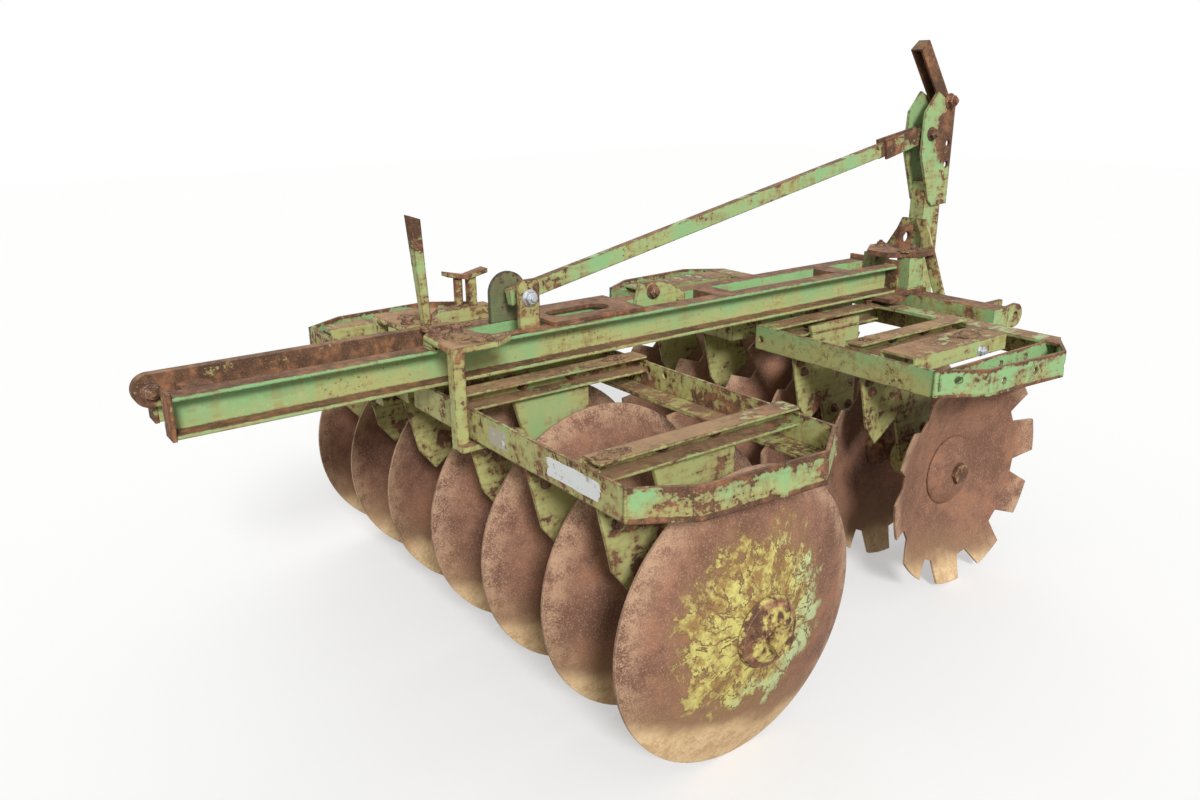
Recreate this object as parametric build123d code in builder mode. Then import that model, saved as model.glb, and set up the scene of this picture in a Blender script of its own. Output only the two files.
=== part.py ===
from build123d import *

"""Tandem disc harrow with four gangs, for a three-point hitch, standing on its discs.

X points to the machine's right, Y forward and Z up, in millimetres. The origin is on the ground,
in the middle of the machine's length and width. Each gang is described by distances measured
outward from the middle of the machine, and a left gang is the mirror image of such a description.
"""
import os
from collections import namedtuple
from math import atan2, cos, radians, sin, sqrt

# Discs, as driving dimensions of the whole machine
plain_disc_radius = 305.0
notched_disc_radius = 298.0
disc_thickness = 6.0
rear_disc_pitch = 230.0
front_disc_pitch = 225.0
dish_depth = 68.0
hub_flat_radius = 60.0
notch_count = 10
notch_floor_radius = 242.0
notch_floor_width = 36.0
notch_mouth_width = 94.0
notch_turn = -8.0

# The two rows of gangs, along the machine
rear_axle_y = -320.0
front_axle_y = 645.0

# Gang frames of angle iron
angle_leg = 65.0
angle_wall = 8.0
frame_top_z = 652.0
frame_depth = 509.0
axle_ahead_of_rear_member = 291.0
shoulder_x = 69.0
shoulder_y = 110.0
bulge_x = 91.0
bulge_y = 392.0
front_corner_x = 8.0
setting_hole_radius = 9.0
setting_hole_pitch = 60.0
closing_bar_thickness = 8.0
closing_bar_drop = 2.0
closing_bar_height = 46.0
bent_flat_hole_radius = 8.0
king_bolt_radius = 10.0
front_king_x = 110.0
running_fit = 0.1

# Cross channels, bearing stands and scrapers in a gang frame
cross_width = 50.0
cross_height = 40.0
cross_wall = 6.0
cross_top_z = 668.0
wide_channel_width = 100.0
wide_channel_length = 372.0
stand_thickness = 10.0
stand_rear = 150.0
stand_front = 55.0
housing_radius = 54.0
housing_half_length = 32.0
journal_radius = 30.0
scraper_thickness = 6.0
scraper_inside_rim = 78.0

# Shaft, spools and end washers of a gang
shaft_side = 28.0
square_fit = 0.2
spool_flange_radius = 55.0
spool_flange_thickness = 12.0
convex_washer_radius = 74.0
hollow_washer_radius = 56.0
outer_washer_height = 22.0
inner_washer_thickness = 8.0
nut_height = 12.0
nut_across_corners = 56.0

# Main beams: a pair of channels, flanges outward
beam_height = 80.0
beam_flange = 45.0
beam_web = 6.0
beam_flange_thickness = 8.0
beam_half_gap = 41.0
beam_bottom_z = 677.0
beam_rear_y = -1150.0
beam_front_y = 892.0
beam_top_z = beam_bottom_z + beam_height
beam_outer_x = beam_half_gap + beam_flange

# Rear hanger: a plate across both beams, with a leg and a foot for each rear gang
hanger_bar_width = 24.0
hanger_bar_depth = 27.0
hanger_plate = 13.0
hanger_packer = 14.0
rear_king_x = 191.0
hanger_gap = 6.0
foot_thickness = 12.0
foot_gap = 7.0

# Headstock and hitch, category 1: forks for the lower links and a bored mast for the top link
fork_inner_x = 300.0
fork_opening = 52.0
fork_plate = 12.0
lower_bore_radius = 11.2
lower_bore_y = 1064.0
lower_bore_z = 635.0
mast_height = 460.0
upper_bore_radius = 9.8
upper_bore_y = 1160.0
mast_gap = 50.0
mast_plate = 8.0
base_plate_thickness = 12.0
cross_beam_rear_y = 955.0
cross_beam_depth = 70.0
cross_beam_height = 65.0

frame_bottom_z = frame_top_z - angle_leg
cross_bottom_z = cross_top_z - cross_height
rear_member_y = rear_axle_y - axle_ahead_of_rear_member
dish_sphere = (plain_disc_radius ** 2 + dish_depth ** 2) / (2 * dish_depth)

os.makedirs("parts", exist_ok=True)

Row = namedtuple("Row", "axle_y radius pitch rim_x dish washer corner_x front holes hole_drop")
rear_row = Row(rear_axle_y, plain_disc_radius, rear_disc_pitch, 690.0, 1, convex_washer_radius,
               706.0, False, 3, 18.0)
front_row = Row(front_axle_y, notched_disc_radius, front_disc_pitch, 545.0, -1, hollow_washer_radius,
                612.0, True, 1, 36.0)

# A stand: x of its plate and of its cross channel, heights of the channel's and the plate's top
Stand = namedtuple("Stand", "plate_x channel_x channel_top plate_top")
outer_rear_stand = Stand(600.0, 600.0, cross_top_z, cross_bottom_z)
front_stands = (
    Stand(370.0, 370.0, cross_top_z, cross_bottom_z),
    Stand(110.0, 80.0, frame_top_z, frame_top_z - 12.0),
)

Gang = namedtuple("Gang", "name side row discs inner_rear inner_front first_hole stands")
gangs = [
    Gang("rear_right", 1, rear_row, 4, -70.0, -20.0, 90.0,
         (outer_rear_stand, Stand(120.0, 120.0, cross_top_z, cross_bottom_z))),
    Gang("rear_left", -1, rear_row, 3, 100.0, 100.0, 130.0,
         (outer_rear_stand, Stand(400.0, 400.0, cross_top_z, cross_bottom_z))),
    Gang("front_right", 1, front_row, 3, 45.0, 45.0, 64.0, front_stands),
    Gang("front_left", -1, front_row, 3, 45.0, 45.0, 64.0, front_stands),
]

# Holes (y, z) through the straight bar and the bent flat that close a front frame, from its rear member
closing_bar_holes = ((251.0, 627.0), (358.0, 627.0))
bent_flat_holes = ((48.0, 629.0), (161.0, 617.0), (278.0, 622.0), (396.0, 616.0))


def save(piece, label):
    """Name a finished piece and write its file."""
    piece.label = label
    export_step(piece, f"parts/{label}.step")


def plate_yz(x, thickness, points, holes=()):
    """A flat plate standing along Y, its near face at x, with round holes (y, z, radius)."""
    with BuildPart() as plate:
        with BuildSketch(Plane.YZ.offset(x)):
            with BuildLine():
                Polyline(*points, close=True)
            make_face()
            for y, z, radius in holes:
                with Locations((y, z)):
                    Circle(radius, mode=Mode.SUBTRACT)
        extrude(amount=thickness)
    return plate.part


def box(x0, x1, y0, y1, z0, z1):
    """A block between two opposite corners."""
    with BuildPart() as block:
        with Locations(((x0 + x1) / 2, (y0 + y1) / 2, (z0 + z1) / 2)):
            Box(abs(x1 - x0), abs(y1 - y0), abs(z1 - z0))
    return block.part


def rod_x(x0, x1, y, z, radius):
    """A round bar along X."""
    with BuildPart() as rod:
        with BuildSketch(Plane.YZ.offset(x0)):
            with Locations((y, z)):
                Circle(radius)
        extrude(amount=x1 - x0)
    return rod.part


def rod_z(x, y, z0, z1, radius):
    """A round bar that stands upright."""
    with BuildPart() as rod:
        with BuildSketch(Plane.XY.offset(z0)):
            with Locations((x, y)):
                Circle(radius)
        extrude(amount=z1 - z0)
    return rod.part


def group(pieces):
    """Several solids of one node, joined where they touch."""
    with BuildPart() as together:
        for piece in pieces:
            add(piece)
    return together.part


def sided(piece, side):
    """The piece itself on the right side, or its mirror image on the left."""
    if side > 0:
        return piece
    with BuildPart() as other:
        add(mirror(piece, about=Plane.YZ, mode=Mode.PRIVATE))
    return other.part


def gang_outline(gang, inset):
    """The plan of a gang frame, seen from above, drawn inset from its outer faces."""
    rear = gang.row.axle_y - axle_ahead_of_rear_member
    corner = gang.row.corner_x
    with BuildSketch() as plan:
        with BuildLine():
            Polyline(
                (gang.inner_rear, rear),
                (corner, rear),
                (corner + shoulder_x, rear + shoulder_y),
                (corner + bulge_x, rear + bulge_y),
                (corner + front_corner_x, rear + frame_depth),
                (gang.inner_front, rear + frame_depth),
                close=True,
            )
        make_face()
        if inset:
            offset(amount=-inset, kind=Kind.INTERSECTION, mode=Mode.REPLACE)
    return plan.sketch


def pivot_place(gang):
    """Where the king bolt passes through the frame: x outward from the middle, and y."""
    rear = gang.row.axle_y - axle_ahead_of_rear_member
    if gang.row.front:
        return front_king_x, rear + frame_depth - angle_leg / 2
    return rear_king_x, rear + angle_leg / 2


def gang_frame(gang):
    """Angle-iron members with the vertical leg outside, closed by a bent flat at the outer end.

    The front member of a front gang carries its flat leg on top, and a straight bar runs
    inside the bent flat there.
    """
    rear = gang.row.axle_y - axle_ahead_of_rear_member
    front = rear + frame_depth
    pivot_x, pivot_y = pivot_place(gang)
    setting_y = rear if gang.row.front else front
    front_leg_z = frame_top_z - angle_wall if gang.row.front else frame_bottom_z
    pivot_leg_z = front_leg_z if gang.row.front else frame_bottom_z
    with BuildPart() as frame:
        with BuildSketch(Plane.XY.offset(frame_bottom_z)):
            add(gang_outline(gang, 0.0))
            add(gang_outline(gang, angle_wall), mode=Mode.SUBTRACT)
        extrude(amount=angle_leg)
        for middle_y, leg_z in ((rear + angle_leg / 2, frame_bottom_z), (front - angle_leg / 2, front_leg_z)):
            with BuildSketch(Plane.XY.offset(leg_z)):
                add(gang_outline(gang, 0.0))
                with Locations((0, middle_y)):
                    Rectangle(2 * (gang.row.corner_x + bulge_x), angle_leg, mode=Mode.INTERSECT)
            extrude(amount=angle_wall)
        with BuildSketch(Plane.XY.offset(pivot_leg_z)):
            with Locations((pivot_x, pivot_y)):
                Circle(king_bolt_radius + running_fit)
        extrude(amount=angle_wall, mode=Mode.SUBTRACT)
        with BuildSketch(Plane.XZ.offset(-setting_y - angle_wall)):
            for index in range(gang.row.holes):
                hole_x = gang.first_hole + index * setting_hole_pitch
                with Locations((hole_x, frame_top_z - gang.row.hole_drop)):
                    Circle(setting_hole_radius)
        extrude(amount=2 * angle_wall, mode=Mode.SUBTRACT)
        if gang.row.front:
            bar_face = gang.row.corner_x + closing_bar_thickness
            with BuildSketch(Plane.YZ.offset(bar_face)):
                for y, z in bent_flat_holes:
                    with Locations((rear + y, z)):
                        Circle(bent_flat_hole_radius)
            extrude(amount=bulge_x, mode=Mode.SUBTRACT)
            add(plate_yz(gang.row.corner_x, closing_bar_thickness, [
                (rear + angle_wall, frame_top_z - closing_bar_drop - closing_bar_height),
                (front - angle_wall, frame_top_z - closing_bar_drop - closing_bar_height),
                (front - angle_wall, frame_top_z - closing_bar_drop),
                (rear + angle_wall, frame_top_z - closing_bar_drop),
            ], [(rear + y, z, bent_flat_hole_radius) for y, z in closing_bar_holes]))
    return frame.part


def cross_channel(stand, rear, length):
    """A channel between the members of a frame, open outward."""
    inner = stand.channel_x - cross_width / 2
    outer = stand.channel_x + cross_width / 2
    bottom = stand.channel_top - cross_height
    with BuildPart() as channel:
        with BuildSketch(Plane.XZ.offset(-rear - angle_wall)):
            with BuildLine():
                Polyline(
                    (inner, bottom),
                    (outer, bottom),
                    (outer, bottom + cross_wall),
                    (inner + cross_wall, bottom + cross_wall),
                    (inner + cross_wall, stand.channel_top - cross_wall),
                    (outer, stand.channel_top - cross_wall),
                    (outer, stand.channel_top),
                    (inner, stand.channel_top),
                    close=True,
                )
            make_face()
        extrude(amount=-length)
    return channel.part


def bearing_stands(gang):
    """Cross channels, each with a plate that carries a bearing housing."""
    rear = gang.row.axle_y - axle_ahead_of_rear_member
    far_wall = angle_leg if gang.row.front else angle_wall
    stands = []
    for stand in gang.stands:
        with BuildPart() as whole:
            add(cross_channel(stand, rear, frame_depth - angle_wall - far_wall))
            with BuildSketch(Plane.YZ.offset(stand.plate_x - stand_thickness / 2)):
                with BuildLine():
                    Polyline(
                        (gang.row.axle_y - stand_rear, stand.plate_top),
                        (gang.row.axle_y + stand_front, stand.plate_top),
                        (gang.row.axle_y + housing_radius, gang.row.radius),
                        (gang.row.axle_y - housing_radius, gang.row.radius),
                        close=True,
                    )
                make_face()
            extrude(amount=stand_thickness)
            with BuildSketch(Plane.YZ.offset(stand.plate_x - housing_half_length)):
                with Locations((gang.row.axle_y, gang.row.radius)):
                    Circle(housing_radius)
            extrude(amount=2 * housing_half_length)
            with BuildSketch(Plane.YZ.offset(stand.plate_x - housing_half_length)):
                with Locations((gang.row.axle_y, gang.row.radius)):
                    Circle(journal_radius + running_fit)
            extrude(amount=2 * housing_half_length, mode=Mode.SUBTRACT)
        stands.append(whole.part)
    if gang.row.front:
        stands.append(wide_channel(gang))
    return group(stands)


def wide_channel(gang):
    """A wide channel, open below, that reaches forward from the rear member near the outer disc."""
    rear = gang.row.axle_y - axle_ahead_of_rear_member
    inner = gang.row.corner_x - wide_channel_width - 62.0
    outer = gang.row.corner_x - 62.0
    with BuildPart() as channel:
        with BuildSketch(Plane.XZ.offset(-rear - angle_wall)):
            with BuildLine():
                Polyline(
                    (inner, cross_bottom_z),
                    (inner + cross_wall, cross_bottom_z),
                    (inner + cross_wall, cross_top_z - cross_wall),
                    (outer - cross_wall, cross_top_z - cross_wall),
                    (outer - cross_wall, cross_bottom_z),
                    (outer, cross_bottom_z),
                    (outer, cross_top_z),
                    (inner, cross_top_z),
                    close=True,
                )
            make_face()
        extrude(amount=-wide_channel_length)
    return channel.part


def scraper_blades(gang):
    """Blades that hang from the rear member on the hollow side of the discs."""
    rear = gang.row.axle_y - axle_ahead_of_rear_member
    blades = []
    for index in range(gang.discs):
        rim = gang.row.rim_x - index * gang.row.pitch
        x = rim - gang.row.dish * scraper_inside_rim
        if x > gang.row.corner_x or x < gang.inner_rear:
            continue
        blades.append(plate_yz(x - scraper_thickness / 2, scraper_thickness, [
            (rear + angle_wall, frame_bottom_z),
            (rear + 41.0, frame_bottom_z - 141.0),
            (rear + 81.0, frame_bottom_z - 193.0),
            (rear + 192.0, frame_bottom_z - 115.0),
            (rear + 150.0, frame_bottom_z - 20.0),
            (rear + angle_leg, frame_bottom_z),
        ]))
    return group(blades)


def hub_x(gang, index):
    """Distance outward of the middle plane of a disc's flat hub."""
    return gang.row.rim_x - index * gang.row.pitch + gang.row.dish * dish_depth


def dished_disc(gang, index):
    """A disc of even thickness: flat hub with a square hole, spherical dish, round or notched rim."""
    half = disc_thickness / 2
    outer = dish_sphere + half
    inner = dish_sphere - half
    centre_x = hub_x(gang, index) - gang.row.dish * dish_sphere

    def rim_point(radius, distance):
        return (centre_x + gang.row.dish * sqrt(radius ** 2 - distance ** 2), distance)

    rim = gang.row.radius
    with BuildPart() as disc:
        with BuildSketch(Plane.XY) as section:
            with BuildLine():
                outer_hub = (hub_x(gang, index) + gang.row.dish * half, 0)
                outer_edge = (hub_x(gang, index) + gang.row.dish * half, hub_flat_radius)
                inner_hub = (hub_x(gang, index) - gang.row.dish * half, 0)
                inner_edge = (hub_x(gang, index) - gang.row.dish * half, hub_flat_radius)
                middle = (rim + hub_flat_radius) / 2
                Line(outer_hub, outer_edge)
                ThreePointArc(outer_edge, rim_point(outer, middle), rim_point(outer, rim))
                Line(rim_point(outer, rim), rim_point(inner, rim))
                ThreePointArc(rim_point(inner, rim), rim_point(inner, middle), inner_edge)
                Line(inner_edge, inner_hub)
                Line(inner_hub, outer_hub)
            make_face()
        revolve(axis=Axis.X)
        with BuildSketch(Plane.YZ.offset(hub_x(gang, index) - 2 * disc_thickness)):
            Rectangle(shaft_side + square_fit, shaft_side + square_fit)
        extrude(amount=4 * disc_thickness, mode=Mode.SUBTRACT)
        if gang.row.front:
            with BuildSketch(Plane.YZ.offset(hub_x(gang, index))):
                with PolarLocations(notch_floor_radius, notch_count, start_angle=notch_turn):
                    Polygon(
                        (0, -notch_floor_width / 2),
                        (rim - notch_floor_radius, -notch_mouth_width / 2),
                        (rim, -notch_mouth_width / 2),
                        (rim, notch_mouth_width / 2),
                        (rim - notch_floor_radius, notch_mouth_width / 2),
                        (0, notch_floor_width / 2),
                        align=None,
                    )
            extrude(amount=2 * dish_depth, both=True, mode=Mode.SUBTRACT)
    return disc.part


def at_axle(piece, gang):
    """Move a piece turned about the X axis to its gang's axle, and to its side."""
    with BuildPart() as moved:
        with Locations((0, gang.row.axle_y, gang.row.radius)):
            add(piece)
    return sided(moved.part, gang.side)


def gang_discs(gang):
    return group([dished_disc(gang, index) for index in range(gang.discs)])


def gang_spools(gang):
    """Spacer spools between the discs: two flanges on a round journal, with a square bore."""
    spools = []
    half = disc_thickness / 2
    for index in range(gang.discs - 1):
        start = hub_x(gang, index + 1) + half
        length = gang.row.pitch - disc_thickness
        with BuildPart() as spool:
            with BuildSketch(Plane.YZ.offset(start)):
                Circle(spool_flange_radius)
            extrude(amount=spool_flange_thickness)
            with BuildSketch(Plane.YZ.offset(start + spool_flange_thickness)):
                Circle(journal_radius)
            extrude(amount=length - 2 * spool_flange_thickness)
            with BuildSketch(Plane.YZ.offset(start + length - spool_flange_thickness)):
                Circle(spool_flange_radius)
            extrude(amount=spool_flange_thickness)
            with BuildSketch(Plane.YZ.offset(start)):
                Rectangle(shaft_side + square_fit, shaft_side + square_fit)
            extrude(amount=length, mode=Mode.SUBTRACT)
        spools.append(spool.part)
    return group(spools)


def gang_shaft(gang):
    """The square shaft with its end washers and nuts."""
    half = disc_thickness / 2
    outer = hub_x(gang, 0) + half
    inner = hub_x(gang, gang.discs - 1) - half
    shaft_inner = inner - inner_washer_thickness - nut_height
    with BuildPart() as shaft:
        with BuildSketch(Plane.YZ.offset(shaft_inner)):
            Rectangle(shaft_side, shaft_side)
        extrude(amount=outer + outer_washer_height - shaft_inner)
        with BuildSketch(Plane.XY):
            with BuildLine():
                Polyline(
                    (outer, 0),
                    (outer, gang.row.washer),
                    (outer + outer_washer_height / 2, gang.row.washer - 6.0),
                    (outer + outer_washer_height, journal_radius + 8.0),
                    (outer + outer_washer_height, 0),
                    close=True,
                )
            make_face()
        revolve(axis=Axis.X)
        with BuildSketch(Plane.YZ.offset(inner - inner_washer_thickness)):
            Circle(spool_flange_radius)
        extrude(amount=inner_washer_thickness)
        with BuildSketch(Plane.YZ.offset(shaft_inner)):
            RegularPolygon(nut_across_corners / 2, 6)
        extrude(amount=nut_height)
        with BuildSketch(Plane.YZ.offset(outer + outer_washer_height)):
            RegularPolygon(nut_across_corners / 2, 6)
        extrude(amount=2 * nut_height)
    return shaft.part


for gang in gangs:
    save(sided(gang_frame(gang), gang.side), f"frame_{gang.name}")
    save(sided(bearing_stands(gang), gang.side), f"stands_{gang.name}")
    save(sided(scraper_blades(gang), gang.side), f"scrapers_{gang.name}")
    save(at_axle(gang_discs(gang), gang), f"discs_{gang.name}")
    save(at_axle(gang_spools(gang), gang), f"spools_{gang.name}")
    save(at_axle(gang_shaft(gang), gang), f"shaft_{gang.name}")


def beam_section(side):
    """A channel's section, its web towards the middle and its flanges outward."""
    back = side * beam_half_gap
    face = side * (beam_half_gap + beam_web)
    tip = side * beam_outer_x
    return [
        (back, beam_bottom_z),
        (tip, beam_bottom_z),
        (tip, beam_bottom_z + beam_flange_thickness),
        (face, beam_bottom_z + beam_flange_thickness),
        (face, beam_top_z - beam_flange_thickness),
        (tip, beam_top_z - beam_flange_thickness),
        (tip, beam_top_z),
        (back, beam_top_z),
    ]


with BuildPart() as main_beams:
    for side in (1, -1):
        with BuildSketch(Plane.XZ.offset(-beam_rear_y)):
            with BuildLine():
                Polyline(*beam_section(side), close=True)
            make_face()
        extrude(amount=-(beam_front_y - beam_rear_y))
save(main_beams.part, "main_beams")

# Plates that close the channels' ends, taller than the beam in front
end_plate = 8.0
front_plate_top = beam_top_z + 15.0
with BuildPart() as beam_end_plates:
    for side in (1, -1):
        near = side * beam_half_gap
        far = side * (beam_outer_x + 4.0)
        add(box(near, far, beam_rear_y - end_plate, beam_rear_y, beam_bottom_z - 2.0, beam_top_z + 8.0))
        add(box(near, far, beam_front_y, beam_front_y + end_plate,
                beam_bottom_z, front_plate_top))
save(beam_end_plates.part, "beam_end_plates")

# Adjusting bar on edge beside the left channel, with a rounded nose behind the beams
bar_thickness = 25.0
bar_height = 64.0
bar_centre_z = 747.0
bar_rear_y = -1162.0
bar_front_y = rear_member_y + 81.0
bar_x = -beam_half_gap
with BuildPart() as adjusting_bar:
    with BuildSketch(Plane.YZ.offset(bar_x)):
        with Locations(((bar_rear_y + bar_front_y) / 2, bar_centre_z)):
            Rectangle(bar_front_y - bar_rear_y, bar_height)
        with Locations((bar_rear_y, bar_centre_z)):
            Circle(bar_height / 2)
        with Locations((bar_rear_y, bar_centre_z)):
            Circle(10.0, mode=Mode.SUBTRACT)
    extrude(amount=bar_thickness)
save(adjusting_bar.part, "adjusting_bar")

# Blocks that hold the two channels apart
with BuildPart() as beam_spacers:
    for y in (beam_rear_y + 60.0, 230.0, 700.0):
        if y < bar_front_y:
            add(box(bar_x + bar_thickness, beam_half_gap, y - 30.0, y + 30.0, beam_bottom_z, beam_top_z))
        else:
            add(box(-beam_half_gap, beam_half_gap, y - 30.0, y + 30.0, beam_bottom_z, beam_top_z))
save(beam_spacers.part, "beam_spacers")

# Rear hanger: a half on each beam, a plate bent down to a leg with a foot under a rear gang
hanger_front_y = rear_member_y - hanger_gap
hanger_rear_y = hanger_front_y - hanger_bar_depth
foot_top_z = frame_bottom_z - foot_gap
foot_bottom_z = foot_top_z - foot_thickness
foot_inner_reach = 23.0
foot_outer_reach = 21.0
leg_inner = rear_king_x - foot_inner_reach
leg_outer = leg_inner + hanger_bar_width
rear_king_y = rear_member_y + angle_leg / 2
hanger_plate_z = beam_top_z + hanger_packer
hanger_top_z = hanger_plate_z + hanger_plate
hanger_bend = 11.0
with BuildPart() as hanger_half:
    add(box(leg_inner, leg_outer, hanger_rear_y, hanger_front_y, foot_bottom_z, hanger_top_z))
    with BuildSketch(Plane.XY.offset(hanger_plate_z)):
        with BuildLine():
            Polyline(
                (beam_half_gap + 2.0, hanger_rear_y + 10.0),
                (leg_inner - 14.0, hanger_rear_y),
                (leg_outer, hanger_rear_y),
                (leg_outer + 2.0, hanger_rear_y + 105.0),
                (leg_inner - 4.0, hanger_rear_y + 153.0),
                (112.0, hanger_rear_y + 110.0),
                (beam_half_gap + 2.0, hanger_rear_y + 98.0),
                close=True,
            )
        make_face()
    extrude(amount=hanger_plate)
    bent = hanger_half.edges().filter_by(Axis.X).filter_by_position(
        Axis.Z, hanger_top_z - 0.1, hanger_top_z + 0.1).sort_by(Axis.Y)[0]
    fillet(bent, hanger_bend)
    add(box(beam_half_gap + 2.0, beam_outer_x, hanger_rear_y + 10.0, hanger_rear_y + 98.0,
            beam_top_z, hanger_plate_z))
    add(box(leg_inner, rear_king_x + foot_outer_reach, hanger_rear_y, rear_king_y + 32.0,
            foot_bottom_z, foot_top_z))
with BuildPart() as rear_hanger:
    for side in (1, -1):
        add(sided(hanger_half.part, side))
save(rear_hanger.part, "rear_hanger")

# Base plate under the front of the beams, which carries the front gangs and the headstock
front_member_y = front_axle_y - axle_ahead_of_rear_member + frame_depth
front_king_y = front_member_y - angle_leg / 2
base_top_z = beam_bottom_z
base_bottom_z = base_top_z - base_plate_thickness
with BuildPart() as base_plate:
    add(box(-145.0, 145.0, front_king_y - 35.0, front_king_y + 35.0, base_bottom_z, base_top_z))
    add(box(-100.0, 100.0, front_king_y, cross_beam_rear_y + cross_beam_depth, base_bottom_z, base_top_z))
save(base_plate.part, "base_plate")

# King bolts: the gang frames swing about them when the cutting angle is set
with BuildPart() as king_bolts:
    for side in (1, -1):
        x = side * rear_king_x
        flat_leg = frame_bottom_z + angle_wall
        add(rod_z(x, rear_king_y, foot_top_z, flat_leg + 34.0, king_bolt_radius))
        add(rod_z(x, rear_king_y, flat_leg + 6.0, flat_leg + 22.0, 1.6 * king_bolt_radius))
        x = side * front_king_x
        flat_leg = frame_top_z - angle_wall
        add(rod_z(x, front_king_y, flat_leg - 30.0, base_bottom_z, king_bolt_radius))
        add(rod_z(x, front_king_y, flat_leg - 22.0, flat_leg - 6.0, 1.6 * king_bolt_radius))
save(king_bolts.part, "king_bolts")

# Slotted plate over the gap between the beams, and the lug of the adjusting linkage
slot_length = 170.0
slot_width = 64.0
with BuildPart() as slotted_plate:
    with BuildSketch(Plane.XY.offset(beam_top_z)):
        with Locations((-10.0, -191.0)):
            Rectangle(170.0, 262.0)
        with Locations((0.0, -205.0)):
            SlotOverall(slot_length, slot_width, rotation=90.0, mode=Mode.SUBTRACT)
    extrude(amount=10.0)
save(slotted_plate.part, "slotted_plate")

lug_rear_y = -25.0
lug_front_y = 160.0
link_lug = plate_yz(-beam_half_gap, 12.0, [
    (lug_rear_y, beam_bottom_z),
    (lug_front_y, beam_bottom_z),
    (lug_front_y, beam_top_z),
    (lug_front_y - 56.0, beam_top_z + 30.0),
    (lug_front_y - 95.0, beam_top_z + 39.0),
    (lug_rear_y + 35.0, beam_top_z + 42.0),
], [(50.0, beam_top_z + 16.0, 9.0)])
save(link_lug, "link_lug")

# Hand lever of angle iron, which stands on the adjusting bar and widens towards its slanted end
bar_top_z = bar_centre_z + bar_height / 2
lever_x = bar_x + bar_thickness - 5.0
lever_foot = (-597.0, bar_top_z, 17.0, 5.0)
lever_head = (-616.0, 1030.0, 25.0, 6.0)
lever_slant = radians(20.0)
with BuildPart() as lever:
    for y, z, leg, wall in (lever_foot, lever_head):
        with BuildSketch(Plane.XY.offset(z)):
            with BuildLine():
                Polyline(
                    (lever_x, y),
                    (lever_x, y + leg),
                    (lever_x - wall, y + leg),
                    (lever_x - wall, y + wall),
                    (lever_x - leg, y + wall),
                    (lever_x - leg, y),
                    close=True,
                )
            make_face()
    loft(ruled=True)
    split(bisect_by=Plane((0, lever_head[0], lever_head[1] - 8.0), x_dir=(1, 0, 0),
                          z_dir=(0, sin(lever_slant), cos(lever_slant))), keep=Keep.BOTTOM)
save(lever.part, "lever")

# Bracket plates that hold the lower end of the brace
brace_low = (-372.0, 827.0)
brace_pin_radius = 10.0
bracket_plate = 10.0
bracket_half = 27.0
far_bracket_radius = 48.0
far_bracket_z = 825.0
with BuildPart() as brace_bracket:
    with BuildSketch(Plane.YZ.offset(beam_half_gap)):
        with BuildLine():
            Polyline(
                (brace_low[0] - bracket_half, beam_top_z),
                (brace_low[0] + bracket_half, beam_top_z),
                (brace_low[0] + bracket_half, far_bracket_z + 34.0),
                (brace_low[0] + bracket_half - 9.0, far_bracket_z + 43.0),
                (brace_low[0] - bracket_half + 9.0, far_bracket_z + 43.0),
                (brace_low[0] - bracket_half, far_bracket_z + 34.0),
                close=True,
            )
        make_face()
        with Locations(brace_low):
            Circle(brace_pin_radius, mode=Mode.SUBTRACT)
    extrude(amount=bracket_plate)
    with BuildSketch(Plane.YZ.offset(-beam_half_gap)):
        with Locations((brace_low[0], far_bracket_z)):
            Circle(far_bracket_radius)
        with Locations((brace_low[0], (far_bracket_z + beam_top_z) / 2)):
            Rectangle(2 * far_bracket_radius, far_bracket_z - beam_top_z)
        with Locations(brace_low):
            Circle(brace_pin_radius, mode=Mode.SUBTRACT)
    extrude(amount=-bracket_plate)
save(brace_bracket.part, "brace_bracket")

# Brace from the bracket to the mast, with a forked end
brace_high = (1074.0, 1126.0)
brace_depth = 37.0
brace_width = 20.0
fork_length = 190.0
rise = atan2(brace_high[1] - brace_low[1], brace_high[0] - brace_low[0])


def along_brace(start, distance, across):
    return (
        start[0] + distance * cos(rise) - across * sin(rise),
        start[1] + distance * sin(rise) + across * cos(rise),
    )


with BuildPart() as brace:
    with BuildSketch(Plane.YZ.offset(-brace_width / 2)):
        with BuildLine():
            Polyline(
                along_brace(brace_low, -24.0, -brace_depth / 2),
                along_brace(brace_high, -60.0, -brace_depth / 2),
                along_brace(brace_high, -60.0, brace_depth / 2),
                along_brace(brace_low, -24.0, brace_depth / 2),
                close=True,
            )
        make_face()
        with Locations(brace_low):
            Circle(brace_pin_radius, mode=Mode.SUBTRACT)
    extrude(amount=brace_width)
    for x in (-brace_width / 2 - 8.0, brace_width / 2):
        with BuildSketch(Plane.YZ.offset(x)):
            with BuildLine():
                Polyline(
                    along_brace(brace_high, -fork_length, -28.0),
                    along_brace(brace_high, 24.0, -22.0),
                    along_brace(brace_high, 24.0, 22.0),
                    along_brace(brace_high, -fork_length, 28.0),
                    close=True,
                )
            make_face()
            with Locations(brace_high):
                Circle(brace_pin_radius, mode=Mode.SUBTRACT)
        extrude(amount=8.0)
save(brace.part, "brace")

with BuildPart() as brace_pins:
    add(rod_x(-beam_half_gap - 22.0, beam_half_gap + 22.0, *brace_low, brace_pin_radius))
    add(rod_x(-mast_gap / 2 - 20.0, mast_gap / 2 + 20.0, *brace_high, brace_pin_radius))
save(brace_pins.part, "brace_pins")

# Headstock: cross beam, uprights, foot plate, post, mast plates and spreading legs
cross_beam_front_y = cross_beam_rear_y + cross_beam_depth
cross_beam_half = fork_inner_x + 2 * fork_plate + fork_opening
with BuildPart() as cross_beam:
    add(box(-cross_beam_half, cross_beam_half, cross_beam_rear_y, cross_beam_front_y,
            base_bottom_z - cross_beam_height, base_bottom_z))
save(cross_beam.part, "cross_beam")

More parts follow.
